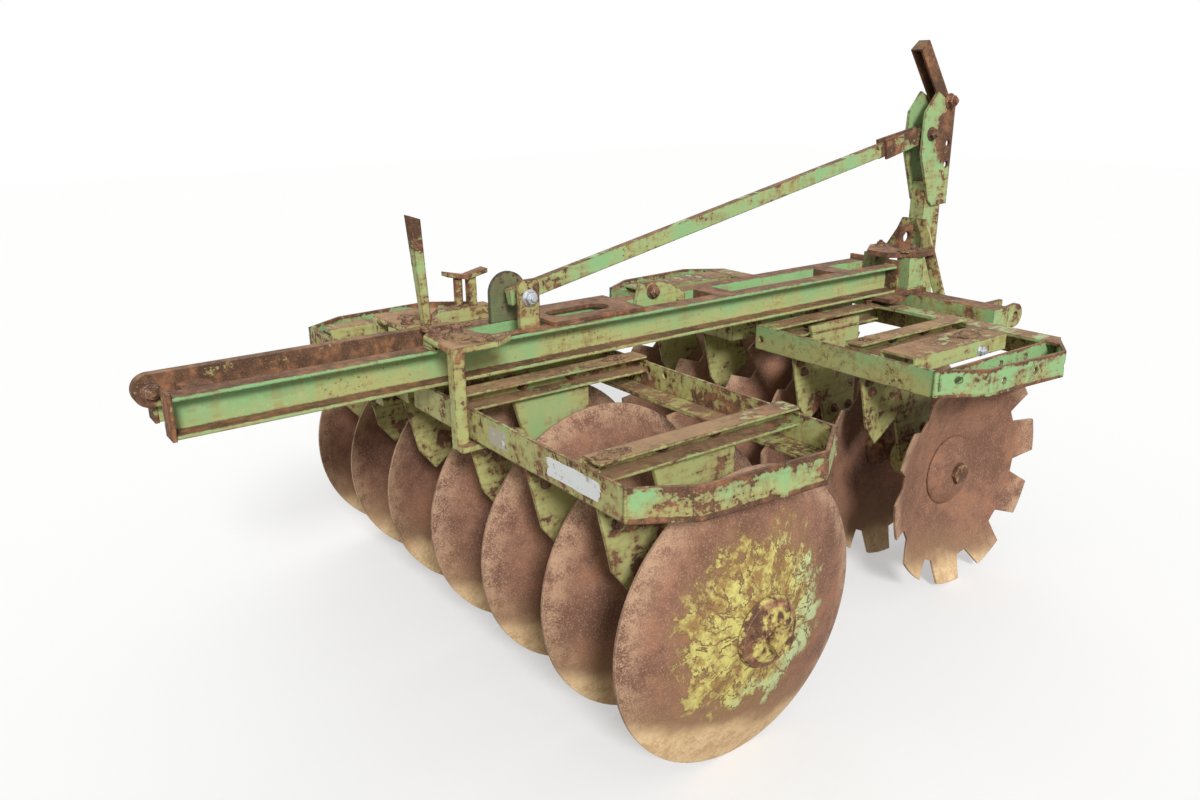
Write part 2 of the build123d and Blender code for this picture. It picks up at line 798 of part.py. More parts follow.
upright_top_z = front_plate_top
with BuildPart() as uprights:
    for side in (1, -1):
        add(plate_yz(40.0 if side > 0 else -85.0, 45.0, [
            (cross_beam_rear_y, base_top_z),
            (cross_beam_front_y, base_top_z),
            (cross_beam_front_y - 8.0, upright_top_z),
            (cross_beam_rear_y - 4.0, upright_top_z),
        ]))
save(uprights.part, "uprights")

# Foot plate on the uprights, narrow behind, with a lug in its middle
foot_plate_top = upright_top_z + 16.0
foot_lug_y = 1036.0
post_rear_y = 1080.0
foot_plate_front_y = post_rear_y - 24.0
with BuildPart() as foot_plate:
    with BuildSketch(Plane.XY.offset(upright_top_z)):
        with BuildLine():
            Polyline(
                (-38.0, cross_beam_rear_y - 50.0),
                (38.0, cross_beam_rear_y - 50.0),
                (95.0, cross_beam_rear_y + 35.0),
                (95.0, foot_plate_front_y),
                (-95.0, foot_plate_front_y),
                (-95.0, cross_beam_rear_y + 35.0),
                close=True,
            )
        make_face()
    extrude(amount=foot_plate_top - upright_top_z)
    add(plate_yz(-6.0, 12.0, [
        (foot_lug_y - 38.0, foot_plate_top),
        (foot_plate_front_y, foot_plate_top),
        (foot_lug_y + 32.0, foot_plate_top + 66.0),
        (foot_lug_y - 32.0, foot_plate_top + 66.0),
    ], [(foot_lug_y, foot_plate_top + 31.0, 17.0)]))
save(foot_plate.part, "foot_plate")

# Spreading legs: flat bars from the front of the cross beam up to the rear of the post
leg_thickness = 10.0
leg_width_x = 36.0
legs_top_z = 872.0
legs_foot_z = base_bottom_z - cross_beam_height
legs_bend_z = legs_top_z - 34.0
legs_top_x = 6.0
legs_bend_x = 22.0
legs_foot_x = 150.0
leg_sections = (
    (legs_foot_z, legs_foot_x, cross_beam_front_y),
    (legs_bend_z, legs_bend_x, post_rear_y - leg_thickness),
    (legs_top_z, legs_top_x, post_rear_y - leg_thickness),
)
with BuildPart() as mast_legs:
    for side in (1, -1):
        for ends in (leg_sections[:2], leg_sections[1:]):
            for z, inner_x, y in ends:
                with BuildSketch(Plane.XY.offset(z)):
                    with Locations((side * (inner_x + leg_width_x / 2), y + leg_thickness / 2)):
                        Rectangle(leg_width_x, leg_thickness)
            loft(ruled=True)
save(mast_legs.part, "mast_legs")

post_depth = 80.0
post_top_z = 985.0
post_foot_z = base_bottom_z - 55.0
with BuildPart() as mast_post:
    add(box(-mast_gap / 2, mast_gap / 2, post_rear_y, post_rear_y + post_depth, post_foot_z, post_top_z))
    add(box(-mast_gap / 2, mast_gap / 2, cross_beam_front_y, post_rear_y, post_foot_z, base_bottom_z))
save(mast_post.part, "mast_post")

upper_bore_z = lower_bore_z + mast_height
spare_bore_drop = 63.0
mast_top_z = 1222.0
mast_outline = [
    (1091.0, mast_top_z + 25.0),
    (1181.0, mast_top_z - 21.0),
    (1180.0, 913.0),
    (1107.0, 911.0),
    (1085.0, 931.0),
    (1035.0, 1067.0),
    (1035.0, 1131.0),
    (1039.0, 1189.0),
]
mast_pin_y = 1150.0
swing_pin_radius = 12.0
with BuildPart() as mast_plates:
    for x in (mast_gap / 2, -mast_gap / 2 - mast_plate):
        holes = [(upper_bore_y, upper_bore_z - drop, upper_bore_radius) for drop in (0.0, spare_bore_drop)]
        holes += [(*brace_high, brace_pin_radius), (mast_pin_y, mast_top_z - 4.0, swing_pin_radius)]
        add(plate_yz(x, mast_plate, mast_outline, holes))
save(mast_plates.part, "mast_plates")

# Swinging piece for the top link: a channel, closed at its end, on a pin at the top of the mast
swing_pin = (mast_pin_y, mast_top_z - 4.0)
swing_lean = radians(37.0)
swing_half_width = 19.0
swing_wall = 6.0
swing_depth = 44.0
swing_reach = 200.0
swing_tail = 18.0


def on_swing(distance, across):
    """A point of the swinging piece: distance up its length from the pin, across to its back."""
    return (
        swing_pin[0] - distance * sin(swing_lean) + across * cos(swing_lean),
        swing_pin[1] + distance * cos(swing_lean) + across * sin(swing_lean),
    )


def swing_profile(front, back, low, high):
    return [on_swing(low, front), on_swing(low, back), on_swing(high, back), on_swing(high, front)]


with BuildPart() as top_link_piece:
    add(plate_yz(-swing_half_width, 2 * swing_half_width,
                 swing_profile(-swing_depth + 20.0, 20.0, -swing_tail, swing_reach)))
    with BuildSketch(Plane.YZ.offset(swing_wall - swing_half_width)):
        with BuildLine():
            Polyline(*swing_profile(-swing_depth, 20.0 - swing_wall, -2 * swing_tail,
                                    swing_reach - swing_wall), close=True)
        make_face()
    extrude(amount=2 * (swing_half_width - swing_wall), mode=Mode.SUBTRACT)
    with BuildSketch(Plane.YZ.offset(-swing_half_width)):
        with Locations(swing_pin):
            Circle(swing_pin_radius + running_fit)
    extrude(amount=2 * swing_half_width, mode=Mode.SUBTRACT)
save(top_link_piece.part, "top_link_piece")

save(rod_x(-mast_gap / 2 - 20.0, mast_gap / 2 + 30.0, *swing_pin, swing_pin_radius), "top_link_pin")

# Forks for the lower links: a square-cornered inner plate and a rounded outer one on each side
fork_reach = 34.0
with BuildPart() as hitch_plates:
    for side in (1, -1):
        inner_x = fork_inner_x if side > 0 else -fork_inner_x - fork_plate
        outer_x = fork_inner_x + fork_plate + fork_opening
        outer_x = outer_x if side > 0 else -outer_x - fork_plate
        add(plate_yz(inner_x, fork_plate, [
            (cross_beam_front_y, base_bottom_z - cross_beam_height),
            (lower_bore_y + fork_reach, lower_bore_z - 34.0),
            (lower_bore_y + fork_reach, lower_bore_z + 30.0),
            (cross_beam_front_y, base_bottom_z),
        ], [(lower_bore_y, lower_bore_z, lower_bore_radius)]))
        with BuildSketch(Plane.YZ.offset(outer_x)):
            with BuildLine():
                Polyline(
                    (cross_beam_front_y, base_bottom_z - cross_beam_height),
                    (lower_bore_y, lower_bore_z - fork_reach),
                    (lower_bore_y, lower_bore_z + fork_reach),
                    (cross_beam_front_y, base_bottom_z),
                    close=True,
                )
            make_face()
            with Locations((lower_bore_y, lower_bore_z)):
                Circle(fork_reach)
                Circle(lower_bore_radius, mode=Mode.SUBTRACT)
        extrude(amount=fork_plate)
save(hitch_plates.part, "hitch_plates")

# Rest on the left rear gang: a shallow dished strip on a round and a flat post
rest_x = -600.0
rest_y = rear_axle_y + 140.0
rest_valley_z = cross_top_z + 80.0
rest_arm = 64.0
rest_rise = 14.0
rest_strip = 12.0
with BuildPart() as lever_rest:
    add(rod_z(rest_x, rest_y - 24.0, cross_top_z, rest_valley_z + 4.0, 13.0))
    add(box(rest_x - 12.0, rest_x + 12.0, rest_y + 6.0, rest_y + 30.0, cross_top_z, rest_valley_z + 2.0))
    with BuildSketch(Plane.YZ.offset(rest_x - 20.0)):
        with BuildLine():
            Polyline(
                (rest_y - rest_arm, rest_valley_z + rest_rise),
                (rest_y, rest_valley_z),
                (rest_y + rest_arm, rest_valley_z + rest_rise),
                (rest_y + rest_arm, rest_valley_z + rest_rise + rest_strip),
                (rest_y, rest_valley_z + rest_strip),
                (rest_y - rest_arm, rest_valley_z + rest_rise + rest_strip),
                close=True,
            )
        make_face()
    extrude(amount=40.0)
save(lever_rest.part, "lever_rest")
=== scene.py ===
"""Worn paint, rust, fasteners, welds, label remnants, soil and the studio of the disc harrow.

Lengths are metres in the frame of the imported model: X to the machine's right, Y forward, Z up.
"""
import math
from collections import defaultdict, namedtuple

import bmesh
import bpy
from mathutils import Matrix, Vector
from mathutils import noise as lumpiness


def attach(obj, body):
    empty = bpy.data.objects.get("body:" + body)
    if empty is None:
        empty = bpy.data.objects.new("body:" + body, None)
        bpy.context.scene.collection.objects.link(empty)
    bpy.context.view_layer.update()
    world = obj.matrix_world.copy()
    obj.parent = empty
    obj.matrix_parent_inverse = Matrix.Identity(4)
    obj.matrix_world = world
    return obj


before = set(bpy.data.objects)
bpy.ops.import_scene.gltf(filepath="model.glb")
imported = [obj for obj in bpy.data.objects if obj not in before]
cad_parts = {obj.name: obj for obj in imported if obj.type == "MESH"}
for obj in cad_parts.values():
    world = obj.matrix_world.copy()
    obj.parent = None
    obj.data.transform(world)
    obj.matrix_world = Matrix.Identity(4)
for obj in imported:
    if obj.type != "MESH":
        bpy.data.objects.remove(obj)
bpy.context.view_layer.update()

bl_info = {
    "name": "Disc harrow dressing",
    "version": (1, 0, 0),
    "blender": (4, 5, 0),
    "location": "3D View > Sidebar > Harrow",
    "description": "Dresses the packed disc harrow with worn paint, rust, fasteners, welds and soil",
    "category": "Object",
}

# Camera that took the photograph: its place, and how far it is turned, tilted and rolled
camera_place = (1.8547, -1.5037, 1.2829)
camera_yaw = 53.71
camera_tilt = -18.19
camera_roll = -0.6
camera_lens = 29.03

# The machine's own numbers, as its solids have them
rear_axle_y = -0.320
front_axle_y = 0.645
plain_radius = 0.305
notched_radius = 0.298
dish_depth = 0.068
frame_top = 0.652
frame_bottom = 0.587
frame_depth = 0.509
frame_behind_axle = 0.291
scraper_from_disc = 0.078
cross_top = 0.668
beam_top = 0.757
beam_bottom = 0.677
hanger_top = 0.784
foot_plate_top = 0.788

# Outline of the domed plate outside a front gang's outer disc: radius, and height above the hub
dome_profile = ((0.094, 0.0060), (0.0925, 0.0095), (0.086, 0.0140), (0.075, 0.0195), (0.063, 0.0245),
                (0.051, 0.0288), (0.041, 0.0318), (0.033, 0.0335), (0.024, 0.0340), (0.024, 0.0280),
                (0.050, 0.0200), (0.075, 0.0120), (0.092, 0.0054))

# A stand: x of its plate and of its cross channel, and the channel's top
Stand = namedtuple("Stand", "plate_x channel_x top")
outer_rear_stand = Stand(0.600, 0.600, cross_top)
front_stands = (Stand(0.370, 0.370, cross_top), Stand(0.110, 0.080, frame_top))

# A gang: its side, axle, the pitch of its discs, x of the outermost rim, the way that the discs bulge,
# their number, and x of its frame's inner end and outer corner
Gang = namedtuple("Gang", "name side axle_y axle_z pitch rim dish discs inner corner stands")
gangs = [
    Gang("rear_right", 1, rear_axle_y, plain_radius, 0.230, 0.690, 1, 4, -0.070, 0.706,
         (outer_rear_stand, Stand(0.120, 0.120, cross_top))),
    Gang("rear_left", -1, rear_axle_y, plain_radius, 0.230, 0.690, 1, 3, 0.100, 0.706,
         (outer_rear_stand, Stand(0.400, 0.400, cross_top))),
    *(Gang("front_" + name, side, front_axle_y, notched_radius, 0.225, 0.545, -1, 3, 0.045, 0.612,
           front_stands) for name, side in (("right", 1), ("left", -1))),
]


def paint(*channels):
    """A colour as it looks on a screen, from 0 to 255, as a linear colour for a shader."""
    shares = [value / 255.0 for value in channels]
    return (*(s / 12.92 if s <= 0.04045 else ((s + 0.055) / 1.055) ** 2.4 for s in shares), 1.0)


class Wire:
    """A node socket that takes part in arithmetic: each operation adds its Math node."""

    def __init__(self, bench, socket):
        self.bench = bench
        self.socket = socket

    def math(self, operation, *values):
        return self.bench.add("ShaderNodeMath", {"operation": operation}, dict(enumerate(values)))

    def __add__(self, other):
        return self.math("ADD", self, other)

    __radd__ = __add__

    def __sub__(self, other):
        return self.math("SUBTRACT", self, other)

    def __rsub__(self, other):
        return self.math("SUBTRACT", other, self)

    def __mul__(self, other):
        return self.math("MULTIPLY", self, other)

    __rmul__ = __mul__

    def at_least(self, other):
        return self.math("MAXIMUM", self, other)

    def size(self):
        return self.math("ABSOLUTE", self)


class Bench:
    """Adds nodes to the tree of a material, a world or a geometry."""

    def __init__(self, tree):
        self.tree = tree

    def add(self, kind, settings=None, values=None, output=0):
        """One node: its settings first, then the values or links of its sockets."""
        node = self.tree.nodes.new(kind)
        for name, setting in (settings or {}).items():
            setattr(node, name, setting)
        for name, value in (values or {}).items():
            if isinstance(value, Wire):
                self.tree.links.new(value.socket, node.inputs[name])
            else:
                node.inputs[name].default_value = value
        return Wire(self, node.outputs[output]) if len(node.outputs) else None


class Shader(Bench):
    """The node tree of one material, read in the object's own coordinates."""

    def __init__(self, name):
        self.material = bpy.data.materials.new(name)
        self.material.use_nodes = True
        super().__init__(self.material.node_tree)
        self.tree.nodes.clear()
        self.place = self.add("ShaderNodeTexCoord", None, None, "Object")
        self.facing = self.split(self.add("ShaderNodeTexCoord", None, None, "Normal"))
        self.along = self.split(self.place)

    def split(self, vector):
        node = self.add("ShaderNodeSeparateXYZ", None, {0: vector}).socket.node
        return [Wire(self, output) for output in node.outputs]

    def noise(self, scale, detail, roughness, shift, stretch=(1, 1, 1), place=None):
        """Noise about zero; stretch makes it longer along an axis where it is below 1."""
        moved = self.add("ShaderNodeMapping", None, {
            "Vector": place or self.place, "Location": (shift, 0.7 * shift, 1.3 * shift),
            "Scale": stretch})
        pattern = self.add("ShaderNodeTexNoise", None, {
            "Vector": moved, "Scale": scale, "Detail": detail, "Roughness": roughness})
        return pattern - 0.5

    def ramp(self, value, low, high):
        """0 below low, 1 above high, smooth between."""
        return self.add("ShaderNodeMapRange", {"interpolation_type": "SMOOTHSTEP"}, {
            "Value": value, "From Min": low, "From Max": high})

    def mix(self, share, first, second):
        return self.add("ShaderNodeMix", {"data_type": "RGBA", "clamp_factor": True},
                        {0: share, 6: first, 7: second}, 2)

    def layers(self, tone, *coats):
        """A colour with others over it, each by its share."""
        for share, colour in coats:
            tone = self.mix(share, tone, colour)
        return tone

    def vector(self, operation, *values, output=0):
        return self.add("ShaderNodeVectorMath", {"operation": operation}, dict(enumerate(values)), output)

    def distance_from(self, y, z):
        """Distance from a line along X."""
        flat = self.vector("MULTIPLY", self.place, (0.0, 1.0, 1.0))
        return self.vector("DISTANCE", flat, (0.0, y, z), output="Value")

    def direction_from(self, y, z):
        """The way out from a line along X, as a unit vector; a pattern on it runs in spokes."""
        out = self.vector("SUBTRACT", self.place, (0.0, y, z))
        return self.vector("NORMALIZE", self.vector("MULTIPLY", out, (0.0, 1.0, 1.0)))

    def edges(self, radius):
        """The rounded normal, and a mask of the strips along the edges."""
        rounded = self.add("ShaderNodeBevel", {"samples": 4}, {"Radius": radius})
        true = self.add("ShaderNodeNewGeometry", None, None, "Normal")
        along = self.vector("DOT_PRODUCT", rounded, true, output="Value")
        return rounded, self.ramp(1 - along, 0.002, 0.07)

    def finish(self, colour, roughness, height, depth, normal=None, metallic=0.0):
        values = {"Height": height, "Distance": depth, "Strength": 1.0}
        if normal:
            values["Normal"] = normal
        relief = self.add("ShaderNodeBump", None, values)
        body = self.add("ShaderNodeBsdfPrincipled", None, {
            "Base Color": colour, "Roughness": roughness, "Metallic": metallic,
            "Specular IOR Level": 0.35, "Normal": relief})
        self.add("ShaderNodeOutputMaterial", None, {"Surface": body})
        return self.material


def seen(bench):
    """1 where the camera looks, also in a mirror or through glass; 0 for the light that bounces."""
    rays = bench.add("ShaderNodeLightPath").socket.node
    direct, mirrored, through = (Wire(bench, rays.outputs[kind]) for kind in (
        "Is Camera Ray", "Is Glossy Ray", "Is Transmission Ray"))
    return direct.at_least(mirrored).at_least(through)


def rust_colour(shader, colours, shift=0.0):
    """Rust in three browns with pale grains, and two of its patterns."""
    broad = shader.noise(11.0, 5.0, 0.6, 3.0 + shift)
    middle = shader.noise(46.0, 5.0, 0.65, 7.0 + shift)
    grain = shader.noise(310.0, 3.0, 0.6, 1.0 + shift)
    tone = shader.layers(
        colours.rust_dark,
        (shader.ramp(broad + middle, -0.16, 0.18), colours.rust),
        (shader.ramp(middle + 0.5 * broad, 0.03, 0.22), colours.rust_bright),
        (shader.ramp(grain, 0.02, 0.22) * 0.45, colours.rust_pale))
    return tone, grain, middle


Finish = namedtuple("Finish", (
    "name", "yellowing", "rust", "edge_rust", "top_rust", "dust",
    "yellow_z", "rusty_parts", "patch", "strips", "speckle", "grimy_x"),
    defaults=(None, (), None, None, 0.0, None))
# How yellow, rusty and dusty a paint is, at its edges and on top too, and what is special about it:
# yellow_z, heights where more yellow begins and is full; rusty_parts, each an axis, where along it more
# rust begins and is full, and how much; patch, y and z of a rusty patch, and its reach; strips, how far
# out a frame's outer flat begins, and heights of its rusty borders; and last the x left of which the
# surface is painted dark grey as painted shade
painted = {finish.name: finish for finish in (
    Finish("beam_paint", 0.25, -0.56, 0.85, 1.2, 0.25, yellow_z=(0.752, 0.688), speckle=0.03),
    Finish("rear_frame_paint", 0.80, -0.14, 0.90, 0.16, 0.42, yellow_z=(0.650, 0.600),
           rusty_parts=((0, 0.480, 0.690, 0.16), (0, 0.700, 0.712, -0.18)),
           strips=(0.704, 0.594, 0.646), speckle=0.03),
    Finish("front_frame_paint", 0.50, -0.30, 0.95, 0.38, 0.62, yellow_z=(0.650, 0.600),
           strips=(0.600, 0.592, 0.648), speckle=0.08),
    Finish("stand_paint", 0.75, -0.30, 0.65, 0.55, 0.80),
    Finish("scraper_paint", 1.10, -0.24, 0.60, 0.30, 0.35),
    Finish("bar_paint", 0.85, 0.42, 0.50, 0.50, 0.55),
    Finish("hanger_paint", 0.85, -0.18, 0.70, 0.60, 0.85),
    Finish("lever_paint", 0.45, -0.36, 0.70, 0.30, 0.20, yellow_z=(0.900, 0.780),
           rusty_parts=((2, 0.880, 0.995, 0.60), (2, 0.830, 0.785, 0.30))),
    Finish("brace_paint", 0.45, -0.38, 0.85, 0.60, 0.25, rusty_parts=((1, 0.865, 0.885, 0.75),),
           speckle=0.02),
    Finish("mast_paint", 0.50, -0.24, 0.90, 0.60, 0.20, patch=(1.172, 1.110, 0.070),
           rusty_parts=((2, 1.230, 1.290, 0.25),)),
    Finish("headstock_paint", 0.50, -0.26, 0.80, 0.80, 0.25, speckle=0.04),
    Finish("leg_paint", 0.90, 0.02, 0.70, 0.80, 0.35, speckle=0.04),
    Finish("rusty_plate", 0.60, 0.75, 0.20, 0.80, 0.40),
    # Left of x = -0.04 the far bracket plate is painted dark grey as painted shade
    Finish("link_paint", 0.75, -0.14, 0.65, 0.70, 0.40, grimy_x=-0.040),
)}

# The CAD nodes that each finish covers; a name that ends in _ stands for all that begin so
nodes_of_finish = {
    "beam_paint": "main_beams",
    "bar_paint": "beam_end_plates adjusting_bar",
    "rusty_plate": "beam_spacers base_plate slotted_plate foot_plate top_link_piece",
    "hanger_paint": "rear_hanger",
    "link_paint": "link_lug brace_bracket",
    "lever_paint": "lever",
    "brace_paint": "brace",
    "headstock_paint": "cross_beam uprights mast_post hitch_plates",
    "leg_paint": "mast_legs lever_rest",
    "mast_paint": "mast_plates",
    "rear_frame_paint": "frame_rear_",
    "front_frame_paint": "frame_front_",
    "stand_paint": "stands_",
    "scraper_paint": "scrapers_",
    "bare_steel": "king_bolts brace_pins",
    "red_rust": "top_link_pin",
}
finish_of_node = {node: finish for finish, nodes in nodes_of_finish.items() for node in nodes.split()}


def painted_steel(finish, colours):
    """Old paint that has yellowed and flaked, with rust below it and dust on top."""
    shader = Shader(finish.name)
    noise, ramp = shader.noise, shader.ramp
    x, _, z = shader.along
    rounded, edge = shader.edges(0.005)
    broad = noise(5.0, 4.0, 0.55, 2.0)
    patch = noise(19.0, 6.0, 0.68, 5.0)
    chips = noise(85.0, 4.0, 0.6, 9.0)
    specks = noise(240.0, 2.0, 0.5, 4.0)
    streak = noise(26.0, 4.0, 0.6, 6.0, (1.0, 1.0, 0.16))
    run = noise(70.0, 4.0, 0.6, 11.0, (1.0, 0.07, 1.0))
    up = ramp(shader.facing[2], 0.55, 0.85)
    rough_edge = edge * ramp(chips + patch, -0.22, 0.10)
    wear = (broad * 1.5 + patch * 2.2 + chips * 1.1 + streak * 0.7 + run * 0.9 + finish.rust
            + rough_edge * finish.edge_rust + up * finish.top_rust)
    yellow = broad * 1.3 + streak * 0.9 + patch * 0.5 + finish.yellowing - 0.5
    if finish.yellow_z:
        yellow = yellow + ramp(z + chips * 0.02, *finish.yellow_z) * 0.42
    for axis, begins, full, amount in finish.rusty_parts:
        across = x.size() if axis == 0 else shader.along[axis]
        wear = wear + ramp(across, begins, full) * amount
    if finish.strips:
        beyond, low, high = finish.strips
        ragged = z + chips * 0.012 + patch * 0.010
        strip = ramp(ragged, low + 0.006, low).at_least(ramp(ragged, high - 0.006, high))
        flat = ramp(x.size(), beyond, beyond + 0.006)
        wear = wear + flat * (strip * 0.46 + 0.04)
        yellow = yellow - flat * 0.50
    if finish.patch:
        patch_y, patch_z, reach = finish.patch
        near = shader.distance_from(patch_y, patch_z) + patch * 0.12
        wear = wear + ramp(near, reach + 0.03, reach - 0.01) * 0.8
    spots = ramp(specks + 0.7 * chips + 0.5 * broad + finish.speckle, 0.235, 0.30)
    bare = ramp(wear, -0.03, 0.10).at_least(spots * 0.85)
    coat = shader.layers(
        colours.paint_fresh,
        (ramp(yellow, -0.32, 0.38), colours.paint_aged),
        (ramp(patch + chips * 0.6, 0.0, 0.28) * 0.55, colours.paint_pale),
        (ramp(run + streak, 0.02, 0.22) * 0.35, colours.paint_stained),
        (ramp(wear, -0.42, 0.06) * 0.62, colours.paint_stained))
    rust, grain, middle = rust_colour(shader, colours)
    dusty = (up * 0.75 + 0.12) * ramp(broad * 1.4 + patch + chips * 0.6, -0.30, 0.26) * finish.dust
    surface = shader.layers(
        coat, (bare, rust), (dusty, colours.dust), (rough_edge * 0.30, colours.rust_dark))
    # Painted shade: left of the given x the surface is mixed toward dark grey, standing in for the far
    # side's shade
    if finish.grimy_x:
        shade_share = ramp(x + patch * 0.006, finish.grimy_x + 0.004, finish.grimy_x - 0.004)
        surface = shader.mix(shade_share * 0.88, surface, colours.grime)
    roughness = 0.58 + 0.27 * bare + 0.12 * dusty + chips * 0.22
    height = ((1 - bare) * 0.45 + bare * (grain * 0.9 + middle * 0.7) + chips * 0.12 + specks * 0.10
              + patch * 0.6 + broad * 2.0)
    return shader.finish(surface, roughness, height, 0.0009, rounded)


def bare_steel(name, colours, red=False, bright=False):
    """Pins, bolts and nuts: dark rusty steel, bright where it rubs; a bright one is nearly new."""
    shader = Shader(name)
    ramp, mix = shader.ramp, shader.mix
    rounded, edge = shader.edges(0.002)
    rust, grain, middle = rust_colour(shader, colours, 4.0)
    rubbed = edge * ramp(middle + grain, -0.10, 0.12)
    surface = mix(rubbed * 0.7, rust, colours.bolt_steel)
    if red:
        surface = mix(ramp(middle, -0.12, 0.06) * 0.8, surface, colours.rust_red)
    if bright:
        rubbed = ramp(middle + grain * 0.5, 0.16, 0.02)
        surface = mix(rubbed, surface, colours.bright_steel)
    roughness = 0.74 - 0.30 * rubbed + grain * 0.2
    metal = rubbed * 0.6
    return shader.finish(surface, roughness, grain * 0.8 + middle * 0.5, 0.0007, rounded, metal)


def disc_steel(gang, colours):
    """Rusty discs: pale worn rims, soil below, and paint left about the outer hub of a plain disc."""
    shader = Shader("disc_" + gang.name)
    noise, ramp = shader.noise, shader.ramp
    _, y, z = shader.along
    rounded, edge = shader.edges(0.003)
    radius = plain_radius if gang.dish > 0 else notched_radius
    away = shader.distance_from(gang.axle_y, gang.axle_z)
    broad = noise(6.0, 5.0, 0.6, 2.0)
    middle = noise(30.0, 6.0, 0.65, 8.0)
    grain = noise(300.0, 3.0, 0.65, 3.0)
    pits = noise(130.0, 4.0, 0.7, 5.0)
    rim = ramp(away + middle * 0.030 + broad * 0.035, radius - 0.060, radius - 0.002)
    # The soil's border is slanted and ragged, and lies lower on a notched disc
    height = z + broad * 0.12 + middle * 0.06 + pits * 0.03 + y * 0.22 - gang.axle_y * 0.22
    if gang.dish < 0:
        height = height + 0.045
    low = ramp(height, 0.125, 0.075)
    dry = shader.mix(ramp(middle + pits, -0.20, 0.16), colours.soil, colours.soil_pale)
    tone = shader.layers(
        colours.disc_dark,
        (ramp(broad + 0.7 * middle, -0.16, 0.18), colours.disc_brown),
        (ramp(middle + 0.6 * broad, 0.04, 0.24) * 0.45, colours.rust_bright),
        (ramp(pits + grain * 0.6, 0.04, 0.24) * 0.50, colours.rust_dark),
        (ramp(grain + pits * 0.4, 0.0, 0.20) * 0.60, colours.disc_pale),
        (rim * ramp(grain + middle, -0.20, 0.16) * 0.80, colours.rim_worn),
        (ramp(height, 0.22, 0.10) * 0.50, colours.soil_stain),
        (low * 0.95, dry),
        (edge * 0.6, colours.rim_worn))
    lumps = grain * 0.7 + middle * 0.7 + pits * 0.8 + low * 0.3
    if gang.dish > 0:
        tone, left = paint_left(shader, gang, colours, broad, tone)
        lumps = lumps + left * 0.7
    roughness = 0.82 + grain * 0.25 - 0.14 * rim
    return shader.finish(tone, roughness, lumps, 0.0011, rounded)


def paint_left(shader, gang, colours, broad, tone):
    """Paint left on the outer face of a gang's outermost disc, in bent spokes about the hub."""
    noise, ramp = shader.noise, shader.ramp
    x, y, z = shader.along
    axle_y, axle_z = gang.axle_y, gang.axle_z
    outer = ramp(x * gang.side, 0.655, 0.665) * ramp(shader.facing[0] * gang.side, 0.2, 0.5)
    bend = shader.add("ShaderNodeTexNoise", None, {
        "Vector": shader.place, "Scale": 15.0, "Detail": 4.0}, "Color")
    bent = shader.vector("MULTIPLY_ADD", bend, (0.85, 0.85, 0.85), shader.direction_from(axle_y, axle_z))
    spokes = noise(3.2, 4.0, 0.6, 5.0, place=bent)
    crackle = noise(46.0, 8.0, 0.75, 12.0)
    flow = noise(17.0, 5.0, 0.65, 15.0)
    veins = ramp((spokes + flow * 0.12).size(), 0.006, 0.040)
    painted_radius = 0.196
    blot = shader.distance_from(axle_y - 0.018, axle_z + 0.020)
    reach = painted_radius - blot + spokes * 0.16 + flow * 0.09 + crackle * 0.05
    inside = ramp(reach, -0.014, 0.060)
    coating = crackle + flow * 0.4 + inside * 0.34 + veins * 0.30
    left = inside * ramp(coating, 0.38, 0.50) * outer
    # Painted shade: a dark rust line along the borders of the paint flakes stands in for the shade of
    # their raised edges
    outline = ramp((coating - 0.40).size(), 0.060, 0.0) * inside * outer
    fresh = ramp(flow + broad + y * 2.6 - axle_y * 2.6 - z * 1.2 + axle_z * 1.2, 0.0, 0.34)
    coat = shader.layers(
        colours.paint_mustard,
        (ramp(crackle + flow * 0.7, -0.12, 0.14), colours.paint_lime),
        (fresh * 0.85, colours.paint_pale))
    halo = ramp(reach, -0.03, 0.05) * outer
    tone = shader.layers(
        tone, (halo * 0.50, colours.paint_mustard), (left, coat), (outline * 0.55, colours.rust_dark))
    return tone, left


def spool_steel(gang, colours):
    """Shafts, washers, spools: rust with soil and a little paint on the outer washer."""
    shader = Shader("hub_" + gang.name)
    rounded, edge = shader.edges(0.004)
    rust, grain, middle = rust_colour(shader, colours, 9.0)
    away = shader.distance_from(gang.axle_y, gang.axle_z)
    broad = shader.noise(14.0, 5.0, 0.65, 6.0)
    tone = shader.mix(shader.ramp(broad + middle, -0.05, 0.25) * 0.6, rust, colours.soil)
    if gang.dish > 0:
        washer_radius = 0.062
        ring = shader.ramp((away - washer_radius).size(), 0.004, 0.010)
        left = shader.ramp(broad * 1.4 + middle * 1.8, -0.16, 0.02) * ring
        left = left * shader.ramp(shader.along[0] * gang.side, 0.74, 0.75)
        coat = shader.mix(shader.ramp(middle, -0.1, 0.15), colours.paint_mustard, colours.paint_lime)
        tone = shader.mix(left, tone, coat)
    tone = shader.mix(edge * 0.35, tone, colours.rim_worn)
    return shader.finish(tone, 0.84 + grain * 0.2, grain * 0.9 + middle * 0.9, 0.0012, rounded)


def label_paper(name, colours, dirt):
    """What is left of a blank label: pale film, dirty and lifting at its border."""
    shader = Shader(name)
    broad = shader.noise(16.0, 4.0, 0.6, 3.0)
    stains = shader.noise(70.0, 5.0, 0.7, 6.0)
    tone = shader.mix(shader.ramp(stains + broad + dirt, 0.02, 0.26) * 0.85,
                      colours.label, colours.label_stained)
    tone = shader.mix(shader.ramp(stains - broad, 0.17, 0.24), tone, colours.rust)
    return shader.finish(tone, 0.55 + stains * 0.3, stains * 0.5, 0.0004)


def dry_soil(colours):
    """Lumps of dried soil on the frames."""
    shader = Shader("dry_soil")
    broad = shader.noise(24.0, 4.0, 0.6, 3.0)
    grain = shader.noise(260.0, 4.0, 0.7, 6.0)
    tone = shader.mix(shader.ramp(broad + grain, -0.22, 0.16), colours.rust_dark, colours.soil_stain)
    tone = shader.mix(shader.ramp(grain - broad * 0.5, 0.06, 0.26) * 0.7, tone, colours.soil)
    return shader.finish(tone, 0.92 + grain * 0.15, grain + broad * 0.5, 0.0020)


